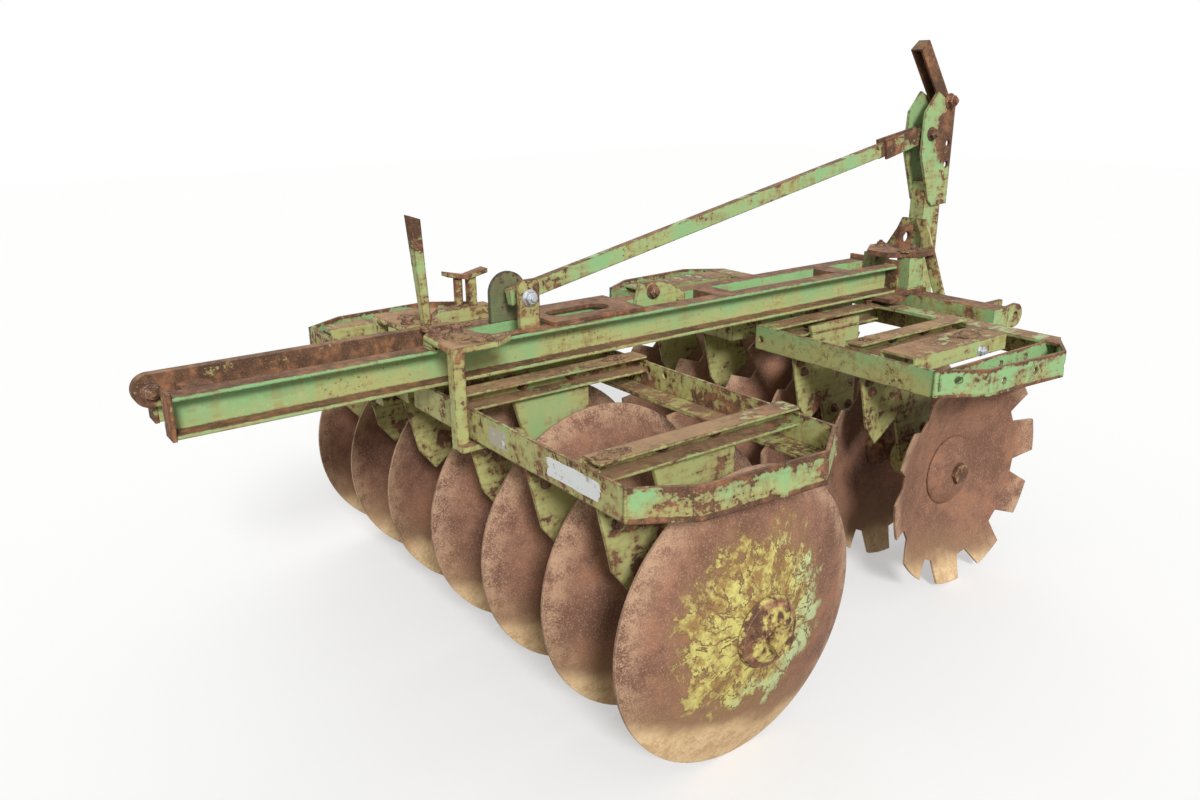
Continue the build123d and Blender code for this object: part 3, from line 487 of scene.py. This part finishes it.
def colour(label, red, green, blue, what=None):
    """A colour setting, given as it looks on a screen."""
    return bpy.props.FloatVectorProperty(
        name=label, description=what or f"Colour of {label.lower()}", subtype="COLOR",
        size=4, min=0.0, max=1.0, default=paint(red, green, blue))


def number(label, what, default, low=0.0, high=100.0, unit="NONE"):
    return bpy.props.FloatProperty(
        name=label, description=what, default=default, min=low, max=high, unit=unit)


def angle(label, what, degrees):
    return bpy.props.FloatProperty(
        name=label, description=what, default=math.radians(degrees),
        min=0.0, max=math.pi, subtype="ANGLE")


class HarrowColours(bpy.types.PropertyGroup):
    """Colours of the finishes."""
    paint_fresh: colour("Paint where it is least aged", 146, 190, 132)
    paint_aged: colour("Yellowed paint", 184, 184, 120)
    paint_pale: colour("Chalked paint", 196, 214, 162)
    paint_stained: colour("Paint stained by rust", 146, 124, 80)
    paint_lime: colour("Paint left on a disc", 214, 206, 122)
    paint_mustard: colour("Paint browned on a disc", 158, 126, 76)
    rust: colour("Rust", 132, 92, 68)
    rust_dark: colour("Dark rust", 84, 58, 44)
    rust_bright: colour("Fresh rust", 166, 110, 74)
    rust_pale: colour("Pale rust grains", 180, 142, 112)
    rust_red: colour("Red rust", 140, 56, 42)
    bolt_steel: colour("Rubbed steel", 170, 162, 150)
    bright_steel: colour("Bright steel", 196, 202, 206)
    # Dark grey used as painted shade on the far side of the brackets
    grime: colour("Grime", 58, 58, 58)
    disc_dark: colour("Dark disc rust", 120, 84, 68)
    disc_brown: colour("Disc rust", 152, 110, 88)
    disc_pale: colour("Pale disc grains", 196, 160, 134)
    rim_worn: colour("Worn rims", 198, 164, 134)
    soil: colour("Soil", 208, 172, 126)
    soil_stain: colour("Soil stain", 160, 130, 96)
    soil_pale: colour("Dry soil", 236, 206, 162)
    dust: colour("Dust", 188, 156, 118)
    label: colour("Blank labels", 236, 240, 240)
    label_stained: colour("Stained labels", 172, 162, 138)


class HarrowFasteners(bpy.types.PropertyGroup):
    """Sizes of the bolts, as shares of the head's width, and of the welds, in metres."""
    head_height: number("Head height", "Height of a bolt head", 0.42, 0.2, 0.8)
    washer_width: number("Washer width", "Width of a washer", 1.30, 1.0, 2.0)
    stud_width: number("Stud width", "Width of the stud's end", 0.52, 0.2, 0.8)
    stud_length: number("Stud length", "How far the stud stands out", 0.22, 0.0, 1.0)
    weld_radius: number("Weld radius", "Radius of a weld bead", 0.0038, 0.001, 0.02, "LENGTH")
    weld_pitch: number("Weld pitch", "Length of one ripple of a weld", 0.0045, 0.002, 0.02, "LENGTH")


class HarrowStage(bpy.types.PropertyGroup):
    """Floor and light."""
    floor_colour: colour("Floor colour", 250, 250, 249, "Colour of the floor as the camera sees it")
    floor_bounce: colour("Floor bounce", 150, 144, 134, "Colour of the light that the floor throws back")
    sun_strength: number("Key light", "Strength of the soft lamp high at the machine's right", 2.6)
    sun_softness: angle("Softness", "Angle that the key light fills", 14.0)
    fill_strength: number("Fill light", "Strength of the softer lamp at the left and the front", 0.70)
    fill_softness: angle("Fill softness", "Angle that the fill light fills", 60.0)
    sky_strength: number("Sky", "Strength of the even light from all around", 0.50)


def dress(node, material):
    """Give a CAD node's every material slot one finish."""
    slots = node.data.materials
    if not slots:
        slots.append(material)
    for index in range(len(slots)):
        slots[index] = material


def finish_named(name, colours):
    """The material of that name, made when it is first asked for."""
    found = bpy.data.materials.get(name)
    if found:
        return found
    if name in painted:
        return painted_steel(painted[name], colours)
    return bare_steel(name, colours, red=name == "red_rust")


class HARROW_OT_frames(bpy.types.Operator):
    """Give beams, frames, hitch and brackets their paint and rust."""
    bl_idname = "harrow.finish_frames"
    bl_label = "Finish the frames"

    def execute(self, context):
        colours = context.scene.harrow_colours
        for name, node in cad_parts.items():
            for key, finish in finish_of_node.items():
                if name == key or (key[-1] == "_" and name.startswith(key)):
                    dress(node, finish_named(finish, colours))
        return {"FINISHED"}


class HARROW_OT_discs(bpy.types.Operator):
    """Give discs, spools and shafts their rust, soil and paint remnants."""
    bl_idname = "harrow.finish_discs"
    bl_label = "Finish the discs"

    def execute(self, context):
        colours = context.scene.harrow_colours
        for gang in gangs:
            dress(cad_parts["discs_" + gang.name], disc_steel(gang, colours))
            hub = spool_steel(gang, colours)
            for part in ("spools_", "shaft_"):
                dress(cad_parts[part + gang.name], hub)
        return {"FINISHED"}


def geometry_tree(name, sizes):
    """A geometry node tree's bench, and the wires of its inputs: its sizes, a seed and a material."""
    tree = bpy.data.node_groups.new(name, "GeometryNodeTree")
    inputs = [("Geometry", "Geometry"), *((label, "Float") for label in sizes), ("Seed", "Int"),
              ("Material", "Material")]
    for label, kind in inputs:
        tree.interface.new_socket(label, in_out="INPUT", socket_type="NodeSocket" + kind)
    tree.interface.new_socket("Geometry", in_out="OUTPUT", socket_type="NodeSocketGeometry")
    bench = Bench(tree)
    entry = bench.add("NodeGroupInput").socket.node
    return bench, {socket.name: Wire(bench, socket) for socket in entry.outputs if socket.name}


def close_tree(bench, geometry, material):
    """End a tree in real mesh with its material."""
    real = bench.add("GeometryNodeRealizeInstances", None, {0: geometry})
    covered = bench.add("GeometryNodeSetMaterial", None, {0: real, "Material": material})
    bench.add("NodeGroupOutput", None, {0: covered})
    return bench.tree


def bolt_tree():
    """A hexagon head on a washer with the end of its stud, at each point, along its axis."""
    bench, given = geometry_tree("bolts", ("Head height", "Washer width", "Stud width", "Stud length"))

    def drum(sides, bottom, top, height, low):
        ring = bench.add("GeometryNodeMeshCone", {"fill_type": "NGON"}, {
            "Vertices": sides, "Radius Bottom": bottom, "Radius Top": top, "Depth": height})
        lift = bench.add("ShaderNodeCombineXYZ", None, {2: low})
        return bench.add("GeometryNodeTransform", None, {0: ring, "Translation": lift})

    washer_height = 0.10
    crown_share = 0.14
    height, stud_width, half = given["Head height"], given["Stud width"], given["Washer width"] * 0.5
    flat = height * (1.0 - crown_share)
    head = drum(6, 0.5, 0.5, flat, washer_height)
    crown = drum(12, 0.455, 0.41, height * crown_share, flat + washer_height)
    washer = drum(18, half, half * 0.98, washer_height, 0.0)
    stud = drum(10, stud_width * 0.5, stud_width * 0.41, given["Stud length"], height + washer_height)
    joined = bench.tree.nodes.new("GeometryNodeJoinGeometry")
    for piece in (head, crown, washer, stud):
        bench.tree.links.new(piece.socket, joined.inputs[0])
    axis = bench.add("GeometryNodeInputNamedAttribute", {"data_type": "FLOAT_VECTOR"}, {0: "axis"})
    size = bench.add("GeometryNodeInputNamedAttribute", {"data_type": "FLOAT"}, {0: "size"})
    turn = bench.add("FunctionNodeRandomValue", {"data_type": "FLOAT"},
                     {2: 0.0, 3: 2 * math.pi, "Seed": given["Seed"]}, 1)
    aligned = bench.add("FunctionNodeAlignRotationToVector", {"axis": "Z"}, {"Vector": axis})
    spin = bench.add("FunctionNodeAxisAngleToRotation", None, {"Axis": (0, 0, 1), "Angle": turn})
    turned = bench.add("FunctionNodeRotateRotation", {"rotation_space": "LOCAL"},
                       {"Rotation": aligned, "Rotate By": spin})
    placed = bench.add("GeometryNodeInstanceOnPoints", None, {
        0: given["Geometry"], "Instance": Wire(bench, joined.outputs[0]), "Rotation": turned,
        "Scale": bench.add("ShaderNodeCombineXYZ", None, {0: size, 1: size, 2: size})})
    return close_tree(bench, placed, given["Material"])


def weld_tree():
    """A rippled bead along each line."""
    bench, given = geometry_tree("welds", ("Radius", "Pitch"))
    line = bench.add("GeometryNodeMeshToCurve", None, {0: given["Geometry"]})
    line = bench.add("GeometryNodeResampleCurve", {"mode": "LENGTH"},
                     {0: line, "Length": given["Pitch"] * 0.5})
    index = bench.add("GeometryNodeInputIndex")
    ripple = index.math("MODULO", index, 2.0)
    swell = bench.add("FunctionNodeRandomValue", {"data_type": "FLOAT"},
                      {2: 0.75, 3: 1.20, "Seed": given["Seed"]}, 1)
    width = given["Radius"] * swell * (0.80 + 0.20 * ripple)
    ring = bench.add("GeometryNodeCurvePrimitiveCircle", {"mode": "RADIUS"},
                     {"Resolution": 7, "Radius": 1.0})
    line = bench.add("GeometryNodeSetCurveRadius", None, {0: line, "Radius": width})
    sweep = bench.add("GeometryNodeCurveToMesh", None, {0: line, 1: ring, "Fill Caps": True})
    if "Scale" in sweep.socket.node.inputs:
        bench.tree.links.new(width.socket, sweep.socket.node.inputs["Scale"])
    smooth = bench.add("GeometryNodeSetShadeSmooth", None, {0: sweep})
    return close_tree(bench, smooth, given["Material"])


def new_object(name, data):
    made = bpy.data.objects.new(name, data)
    bpy.context.scene.collection.objects.link(made)
    return made


def add_piece(name, mesh, body):
    """Put a mesh in the scene as a piece that rides with a body."""
    piece = new_object(name, mesh)
    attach(piece, body)


def closed_mesh(name, form, material, smooth=True):
    """Turn a bmesh into a mesh of one material."""
    for face in form.faces:
        face.smooth = smooth
    mesh = bpy.data.meshes.new(name)
    form.to_mesh(mesh)
    form.free()
    mesh.materials.append(material)
    return mesh


def skin(name, rings, material, around):
    """A mesh over rings of points; the last ring meets the first, or else both are capped."""
    form = bmesh.new()
    rings = [[form.verts.new(point) for point in ring] for ring in rings]
    for ring, following in zip(rings, rings[1:] + (rings[:1] if around else [])):
        for corner in range(len(ring)):
            form.faces.new((ring[corner - 1], ring[corner], following[corner], following[corner - 1]))
    if not around:
        form.faces.new(rings[0])
        form.faces.new(rings[-1])
    bmesh.ops.recalc_face_normals(form, faces=form.faces)
    return closed_mesh(name, form, material, smooth=around)


def grow(name, source, tree, settings, body):
    """Run a geometry node tree on a source mesh and keep the result as a piece of a body."""
    seed_object = new_object(name + "_source", source)
    modifier = seed_object.modifiers.new("grow", "NODES")
    modifier.node_group = tree
    for item in tree.interface.items_tree:
        if item.in_out == "INPUT" and item.name in settings:
            modifier[item.identifier] = settings[item.name]
    graph = bpy.context.evaluated_depsgraph_get()
    graph.update()
    mesh = bpy.data.meshes.new_from_object(seed_object.evaluated_get(graph), depsgraph=graph)
    bpy.data.objects.remove(seed_object)
    if not mesh.polygons:
        raise RuntimeError(f"{name} has no faces")
    mesh.name = name
    add_piece(name, mesh, body)


def scraper_places(gang):
    """How far from the machine's middle each scraper arm stands that fits on its frame."""
    outermost = gang.rim - gang.dish * scraper_from_disc
    arms = [outermost - index * gang.pitch for index in range(gang.discs)]
    return [x for x in arms if gang.inner < x < gang.corner]


Bolt = namedtuple("Bolt", "body x y z axis width bright", defaults=(False,))


def bolt_places():
    """Every bolt, nut and pin head: its body, seat, direction and width across corners."""
    right, left, up, down = (1, 0, 0), (-1, 0, 0), (0, 0, 1), (0, 0, -1)
    places = []

    def bolt(*facts):
        places.append(Bolt(*facts))

    bolt("main_frame", 0.051, -0.372, 0.827, right, 0.030, True)
    bolt("main_frame", -0.051, -0.372, 0.827, left, 0.034)
    for y, z, width in ((1.074, 1.126, 0.032), (1.150, 1.218, 0.036)):
        bolt("main_frame", 0.033, y, z, right, width)
        bolt("main_frame", -0.033, y, z, left, width)
    bolt("main_frame", -0.029, 0.050, 0.773, right, 0.030)
    bolt("main_frame", -0.016, -1.162, 0.747, right, 0.030)
    bolt("main_frame", -0.041, -1.162, 0.747, left, 0.030)
    for side in (1, -1):
        for y in (-0.616, -0.566):
            bolt("main_frame", side * 0.066, y, hanger_top, up, 0.024)
        for y in (0.800, 0.862):
            bolt("main_frame", side * 0.064, y, beam_bottom - 0.012, down, 0.026)
        bolt("main_frame", side * 0.062, 1.000, foot_plate_top, up, 0.024)
    for gang in gangs:
        body = "gang_" + gang.name
        axle_y, axle_z = gang.axle_y, gang.axle_z
        rear = axle_y - frame_behind_axle
        outward, inward = (right, left) if gang.side > 0 else (left, right)
        for stand in gang.stands:
            for dy in (-0.110, 0.020):
                x = gang.side * (stand.channel_x - 0.019)
                bolt(body, x, axle_y + dy, stand.top - 0.018, outward, 0.024)
            for dy in (-0.030, 0.030):
                for way, push in ((outward, 0.005), (inward, -0.005)):
                    x = gang.side * (stand.plate_x + push)
                    bolt(body, x, axle_y + dy, axle_z + 0.082, way, 0.022)
            # A grease fitting low on the back of the housing
            bolt(body, gang.side * (stand.plate_x + 0.018), axle_y - 0.050, axle_z - 0.0195,
                 (0, -0.932, -0.363), 0.012)
        if gang.dish < 0:
            # The setting bolt in the wide channel
            bolt(body, gang.side * (gang.corner - 0.062), axle_y - 0.020, 0.642, outward, 0.023, True)
        for x in scraper_places(gang):
            for dy, dz in ((0.036, -0.018), (0.052, -0.046)):
                bolt(body, gang.side * (x + 0.003), rear + dy, frame_bottom + dz, outward, 0.020)
    return places


def points_mesh(name, places):
    mesh = bpy.data.meshes.new(name)
    mesh.from_pydata([(p.x, p.y, p.z) for p in places], [], [])
    axis = mesh.attributes.new("axis", "FLOAT_VECTOR", "POINT")
    axis.data.foreach_set("vector", [c for p in places for c in p.axis])
    size = mesh.attributes.new("size", "FLOAT", "POINT")
    size.data.foreach_set("value", [p.width for p in places])
    return mesh


class HARROW_OT_bolts(bpy.types.Operator):
    """Bolts, nuts and pin heads on every body."""
    bl_idname = "harrow.bolts"
    bl_label = "Add the bolts"

    def execute(self, context):
        sizes = context.scene.harrow_fasteners
        tree = bolt_tree()
        colours = context.scene.harrow_colours
        steels = {False: ("bolts_", bare_steel("bolt_steel", colours)),
                  True: ("bright_bolts_", bare_steel("bright_bolt_steel", colours, bright=True))}
        places = bolt_places()
        for body, bright in sorted({(p.body, p.bright) for p in places}):
            kind, steel = steels[bright]
            chosen = [p for p in places if (p.body, p.bright) == (body, bright)]
            grow(kind + body, points_mesh(body, chosen), tree, {
                "Head height": sizes.head_height, "Washer width": sizes.washer_width,
                "Stud width": sizes.stud_width, "Stud length": sizes.stud_length,
                "Seed": 7, "Material": steel}, body)
        return {"FINISHED"}


# Ends of the welds on the main frame's right side; the left side has the same
mirrored_welds = (
    ((0.041, -1.150, 0.7575), (0.086, -1.150, 0.7575)),
    ((0.041, 0.892, 0.7575), (0.086, 0.892, 0.7575)),
    ((0.043, -0.634, 0.758), (0.086, -0.634, 0.758)),
    ((0.0865, -0.634, 0.758), (0.0865, -0.546, 0.758)),
    ((0.168, -0.617, 0.581), (0.192, -0.617, 0.581)),
    *(((x, 1.025, 0.602), (x, 1.025, 0.664)) for x in (0.300, 0.312, 0.376)),
    ((0.150, 1.025, 0.603), (0.186, 1.025, 0.603)),
    ((0.085, 0.955, 0.678), (0.085, 1.025, 0.678)),
    ((0.040, 0.955, 0.678), (0.085, 0.955, 0.678)),
)


def weld_seams():
    """Each body's welded seams, as lines of points."""
    seams = defaultdict(list)

    def weld(body, *points):
        seams[body].append(points)

    for side in (1, -1):
        for ends in mirrored_welds:
            weld("main_frame", *((side * x, y, z) for x, y, z in ends))
    weld("main_frame", (0.051, -0.399, 0.758), (0.051, -0.345, 0.758))
    weld("main_frame", (-0.051, -0.420, 0.758), (-0.051, -0.324, 0.758))
    for gang in gangs:
        body = "gang_" + gang.name
        axle_y, axle_z = gang.axle_y, gang.axle_z
        rear = axle_y - frame_behind_axle
        front = rear + frame_depth
        front_seam = front - (0.065 if gang.dish < 0 else 0.008)
        for stand in gang.stands:
            joint = stand.top - (0.034 if stand.plate_x > stand.channel_x else 0.040)
            for dx in (-0.005, 0.005):
                x = gang.side * (stand.plate_x + dx)
                weld(body, (x, axle_y - 0.148, joint), (x, axle_y + 0.053, joint))
                weld(body, (x, axle_y - 0.048, axle_z + 0.030),
                     (x, axle_y, axle_z + 0.055), (x, axle_y + 0.048, axle_z + 0.030))
            for y in (rear + 0.008, front_seam):
                weld(body, *((gang.side * (stand.channel_x + dx), y, frame_top + 0.001)
                             for dx in (-0.025, 0.025)))
        for x, y in ((gang.corner, rear), (gang.corner + 0.008, front)):
            weld(body, *((gang.side * x, y, z) for z in (frame_bottom + 0.002, frame_top - 0.001)))
        for x in scraper_places(gang):
            for dx in (-0.003, 0.003):
                weld(body, *((gang.side * (x + dx), rear + dy, frame_bottom) for dy in (0.010, 0.063)))
    return seams


def lines_mesh(name, lines):
    mesh = bpy.data.meshes.new(name)
    points, edges = [], []
    for line in lines:
        edges += [(end - 1, end) for end in range(len(points) + 1, len(points) + len(line))]
        points += line
    mesh.from_pydata(points, edges, [])
    return mesh


class HARROW_OT_domes(bpy.types.Operator):
    """Domed plates under the outer nuts of the front gangs."""
    bl_idname = "harrow.hub_domes"
    bl_label = "Add the hub domes"

    def execute(self, context):
        steps = 72
        for gang in gangs:
            if gang.dish > 0:
                continue
            foot = gang.rim + gang.dish * dish_depth + 0.003
            rings = []
            for step in range(steps):
                turn = 2 * math.pi * step / steps
                rings.append([(gang.side * (foot + rise), gang.axle_y + radius * math.sin(turn),
                               gang.axle_z + radius * math.cos(turn)) for radius, rise in dome_profile])
            name = "hub_dome_" + gang.name
            mesh = skin(name, rings, bpy.data.materials["disc_" + gang.name], around=True)
            add_piece(name, mesh, "rotor_" + gang.name)
        return {"FINISHED"}


# A lump of soil: where it lies, and its length along Y, its width and its height
Clod = namedtuple("Clod", "body x y z length width height")
clods = [Clod(body, *facts) for body, lumps in (
    ("main_frame", (
        (0.120, -0.592, hanger_top, 0.046, 0.066, 0.010),
        (0.168, -0.560, hanger_top, 0.050, 0.030, 0.007),
        (0.020, -0.606, hanger_top, 0.034, 0.050, 0.008),
        (-0.110, -0.584, hanger_top, 0.050, 0.060, 0.009),
        (0.068, -0.460, beam_top, 0.090, 0.028, 0.007),
        (0.066, -0.260, beam_top, 0.060, 0.024, 0.005),
        (-0.066, -0.480, beam_top, 0.080, 0.026, 0.006),
        (0.060, 0.962, foot_plate_top, 0.050, 0.036, 0.007))),
    ("gang_rear_right", (
        (0.602, -0.560, cross_top, 0.070, 0.038, 0.006),
        (0.120, -0.180, cross_top, 0.080, 0.036, 0.006))),
    ("gang_rear_left", (
        (-0.398, -0.540, cross_top, 0.070, 0.036, 0.007),
        (-0.602, -0.200, cross_top, 0.060, 0.038, 0.006))),
    ("gang_front_right", (
        (0.370, 0.420, cross_top, 0.060, 0.036, 0.006),
        (0.500, 0.640, cross_top, 0.090, 0.060, 0.007))),
    ("gang_front_left", (
        (-0.500, 0.460, cross_top, 0.080, 0.055, 0.007),
        (-0.370, 0.700, cross_top, 0.060, 0.036, 0.006))),
) for facts in lumps]


def add_clod(form, clod, turn):
    """A flat lump with a broken border, sunk a little into what carries it."""
    ball = bmesh.ops.create_icosphere(form, subdivisions=4, radius=1.0)
    for vertex in ball["verts"]:
        out = vertex.co.normalized()
        out = out * (1.0 + 0.42 * lumpiness.noise(out * 1.6 + Vector((turn, 0.0, 0.0)))
                     + 0.24 * lumpiness.noise(out * 4.5 + Vector((0.0, turn, 0.0))))
        vertex.co = Vector((clod.x + out.x * clod.width / 2, clod.y + out.y * clod.length / 2,
                            clod.z + max(out.z, -0.12) * clod.height))


class HARROW_OT_soil(bpy.types.Operator):
    """Lumps of dried soil lying on the frames."""
    bl_idname = "harrow.soil"
    bl_label = "Add the soil"

    def execute(self, context):
        finish = dry_soil(context.scene.harrow_colours)
        for body in sorted({clod.body for clod in clods}):
            form = bmesh.new()
            for index, clod in enumerate(clods):
                if clod.body == body:
                    add_clod(form, clod, 3.7 * index)
            name = "soil_" + body
            add_piece(name, closed_mesh(name, form, finish), body)
        return {"FINISHED"}


class HARROW_OT_welds(bpy.types.Operator):
    """Weld beads on the frames."""
    bl_idname = "harrow.welds"
    bl_label = "Add the welds"

    def execute(self, context):
        sizes = context.scene.harrow_fasteners
        tree = weld_tree()
        steel = finish_named("link_paint", context.scene.harrow_colours)
        for body, lines in sorted(weld_seams().items()):
            grow("welds_" + body, lines_mesh(body, lines), tree, {
                "Radius": sizes.weld_radius, "Pitch": sizes.weld_pitch, "Seed": 3, "Material": steel},
                body)
        return {"FINISHED"}


Label = namedtuple("Label", "name body x0 x1 z0 z1 y dirt")
labels = [
    Label("label_white", "gang_rear_right", 0.470, 0.640, 0.600, 0.640, -0.6115, -0.04),
    Label("label_grey", "gang_rear_right", 0.262, 0.332, 0.600, 0.640, -0.6115, 0.30),
]


def label_mesh(label, film):
    """A thin film with a torn border."""
    corners = 46
    thickness = 0.0004
    outline = []
    for corner in range(corners):
        turn = 2 * math.pi * corner / corners
        wide, high = math.cos(turn), math.sin(turn)
        tear = 0.94 + 0.035 * math.sin(5.3 * turn + label.x0 * 40) + 0.02 * math.sin(13.0 * turn)
        reach = min(tear, 0.99) / max(abs(wide), abs(high))
        outline.append(((label.x0 + label.x1) / 2 + wide * reach * (label.x1 - label.x0) / 2,
                        (label.z0 + label.z1) / 2 + high * reach * (label.z1 - label.z0) / 2))
    rings = [[(x, y, z) for x, z in outline] for y in (label.y, label.y + thickness)]
    return skin(label.name, rings, film, around=False)


class HARROW_OT_labels(bpy.types.Operator):
    """Blank remnants of the labels on the rear frame member."""
    bl_idname = "harrow.labels"
    bl_label = "Add the label remnants"

    def execute(self, context):
        for label in labels:
            film = label_paper(label.name, context.scene.harrow_colours, label.dirt)
            add_piece(label.name, label_mesh(label, film), label.body)
        return {"FINISHED"}


class HARROW_OT_stage(bpy.types.Operator):
    """Camera, pale floor and soft light."""
    bl_idname = "harrow.stage"
    bl_label = "Set the stage"

    def execute(self, context):
        scene = context.scene
        look = scene.harrow_stage
        scene.view_settings.view_transform = "Standard"
        lens = bpy.data.cameras.new("camera")
        lens.sensor_width = 36.0
        lens.lens = camera_lens
        lens.clip_start = 0.05
        camera = new_object("camera", lens)
        turn = (Matrix.Rotation(math.radians(camera_yaw), 4, "Z")
                @ Matrix.Rotation(math.radians(90 + camera_tilt), 4, "X")
                @ Matrix.Rotation(math.radians(camera_roll), 4, "Z"))
        camera.matrix_world = Matrix.Translation(camera_place) @ turn
        scene.camera = camera
        self.floor(look)
        self.world(scene, look)
        self.lamp("key", look.sun_strength, look.sun_softness, (3.4, -1.5, 2.2))
        self.lamp("fill", look.fill_strength, look.fill_softness, (-2.2, 2.6, 2.0))
        return {"FINISHED"}

    def floor(self, look):
        finish = bpy.data.materials.new("floor_finish")
        bench = self.empty_bench(finish)
        in_view = seen(bench)
        tone = bench.add("ShaderNodeMix", {"data_type": "RGBA"}, {
            0: in_view, 6: tuple(look.floor_bounce), 7: tuple(look.floor_colour)}, 2)
        lit = bench.add("ShaderNodeBsdfDiffuse", None, {"Color": tone})
        white = bench.add("ShaderNodeEmission", None, {"Color": (1, 1, 1, 1), "Strength": 1.0})
        body = bench.add("ShaderNodeMixShader", None, {0: in_view * 0.40, 1: lit, 2: white})
        bench.add("ShaderNodeOutputMaterial", None, {"Surface": body})
        mesh = bpy.data.meshes.new("floor")
        reach = 14.0
        mesh.from_pydata([(-reach, -reach, 0), (reach, -reach, 0), (reach, reach, 0), (-reach, reach, 0)],
                         [], [(0, 1, 2, 3)])
        mesh.materials.append(finish)
        floor = new_object("floor", mesh)

    def world(self, scene, look):
        scene.world = bpy.data.worlds.new("studio")
        bench = self.empty_bench(scene.world)
        light, white = (
            bench.add("ShaderNodeBackground", None, {"Color": (1, 1, 1, 1), "Strength": strength})
            for strength in (look.sky_strength, 1.0))
        both = bench.add("ShaderNodeMixShader", None, {0: seen(bench), 1: light, 2: white})
        bench.add("ShaderNodeOutputWorld", None, {"Surface": both})

    def empty_bench(self, owner):
        """The cleared node tree of a material or a world."""
        owner.use_nodes = True
        owner.node_tree.nodes.clear()
        return Bench(owner.node_tree)

    def lamp(self, name, strength, softness, place):
        light = bpy.data.lights.new(name, "SUN")
        light.energy = strength
        light.angle = softness
        turn = (-Vector(place)).to_track_quat("-Z", "Y")
        new_object(name, light).matrix_world = turn.to_matrix().to_4x4()


operators = (HARROW_OT_stage, HARROW_OT_frames, HARROW_OT_discs, HARROW_OT_bolts,
             HARROW_OT_domes, HARROW_OT_soil, HARROW_OT_welds, HARROW_OT_labels)
settings_groups = {"harrow_colours": HarrowColours, "harrow_fasteners": HarrowFasteners,
                   "harrow_stage": HarrowStage}


class HARROW_PT_panel(bpy.types.Panel):
    """Lists the steps and settings of the harrow."""
    bl_label = "Disc harrow"
    bl_space_type = "VIEW_3D"
    bl_region_type = "UI"
    bl_category = "Harrow"

    def draw(self, context):
        layout = self.layout
        for operator in operators:
            layout.operator(operator.bl_idname)
        for name, group in settings_groups.items():
            for setting in group.__annotations__:
                layout.prop(getattr(context.scene, name), setting)


def register():
    for name, group in settings_groups.items():
        bpy.utils.register_class(group)
        setattr(bpy.types.Scene, name, bpy.props.PointerProperty(type=group))
    for operator in operators:
        bpy.utils.register_class(operator)
    bpy.utils.register_class(HARROW_PT_panel)


def unregister():
    bpy.utils.unregister_class(HARROW_PT_panel)
    for operator in reversed(operators):
        bpy.utils.unregister_class(operator)
    for name, group in settings_groups.items():
        delattr(bpy.types.Scene, name)
        bpy.utils.unregister_class(group)


def main():
    register()
    for operator in operators:
        family, action = operator.bl_idname.split(".")
        getattr(getattr(bpy.ops, family), action)()


if __name__ == "__main__":
    main()
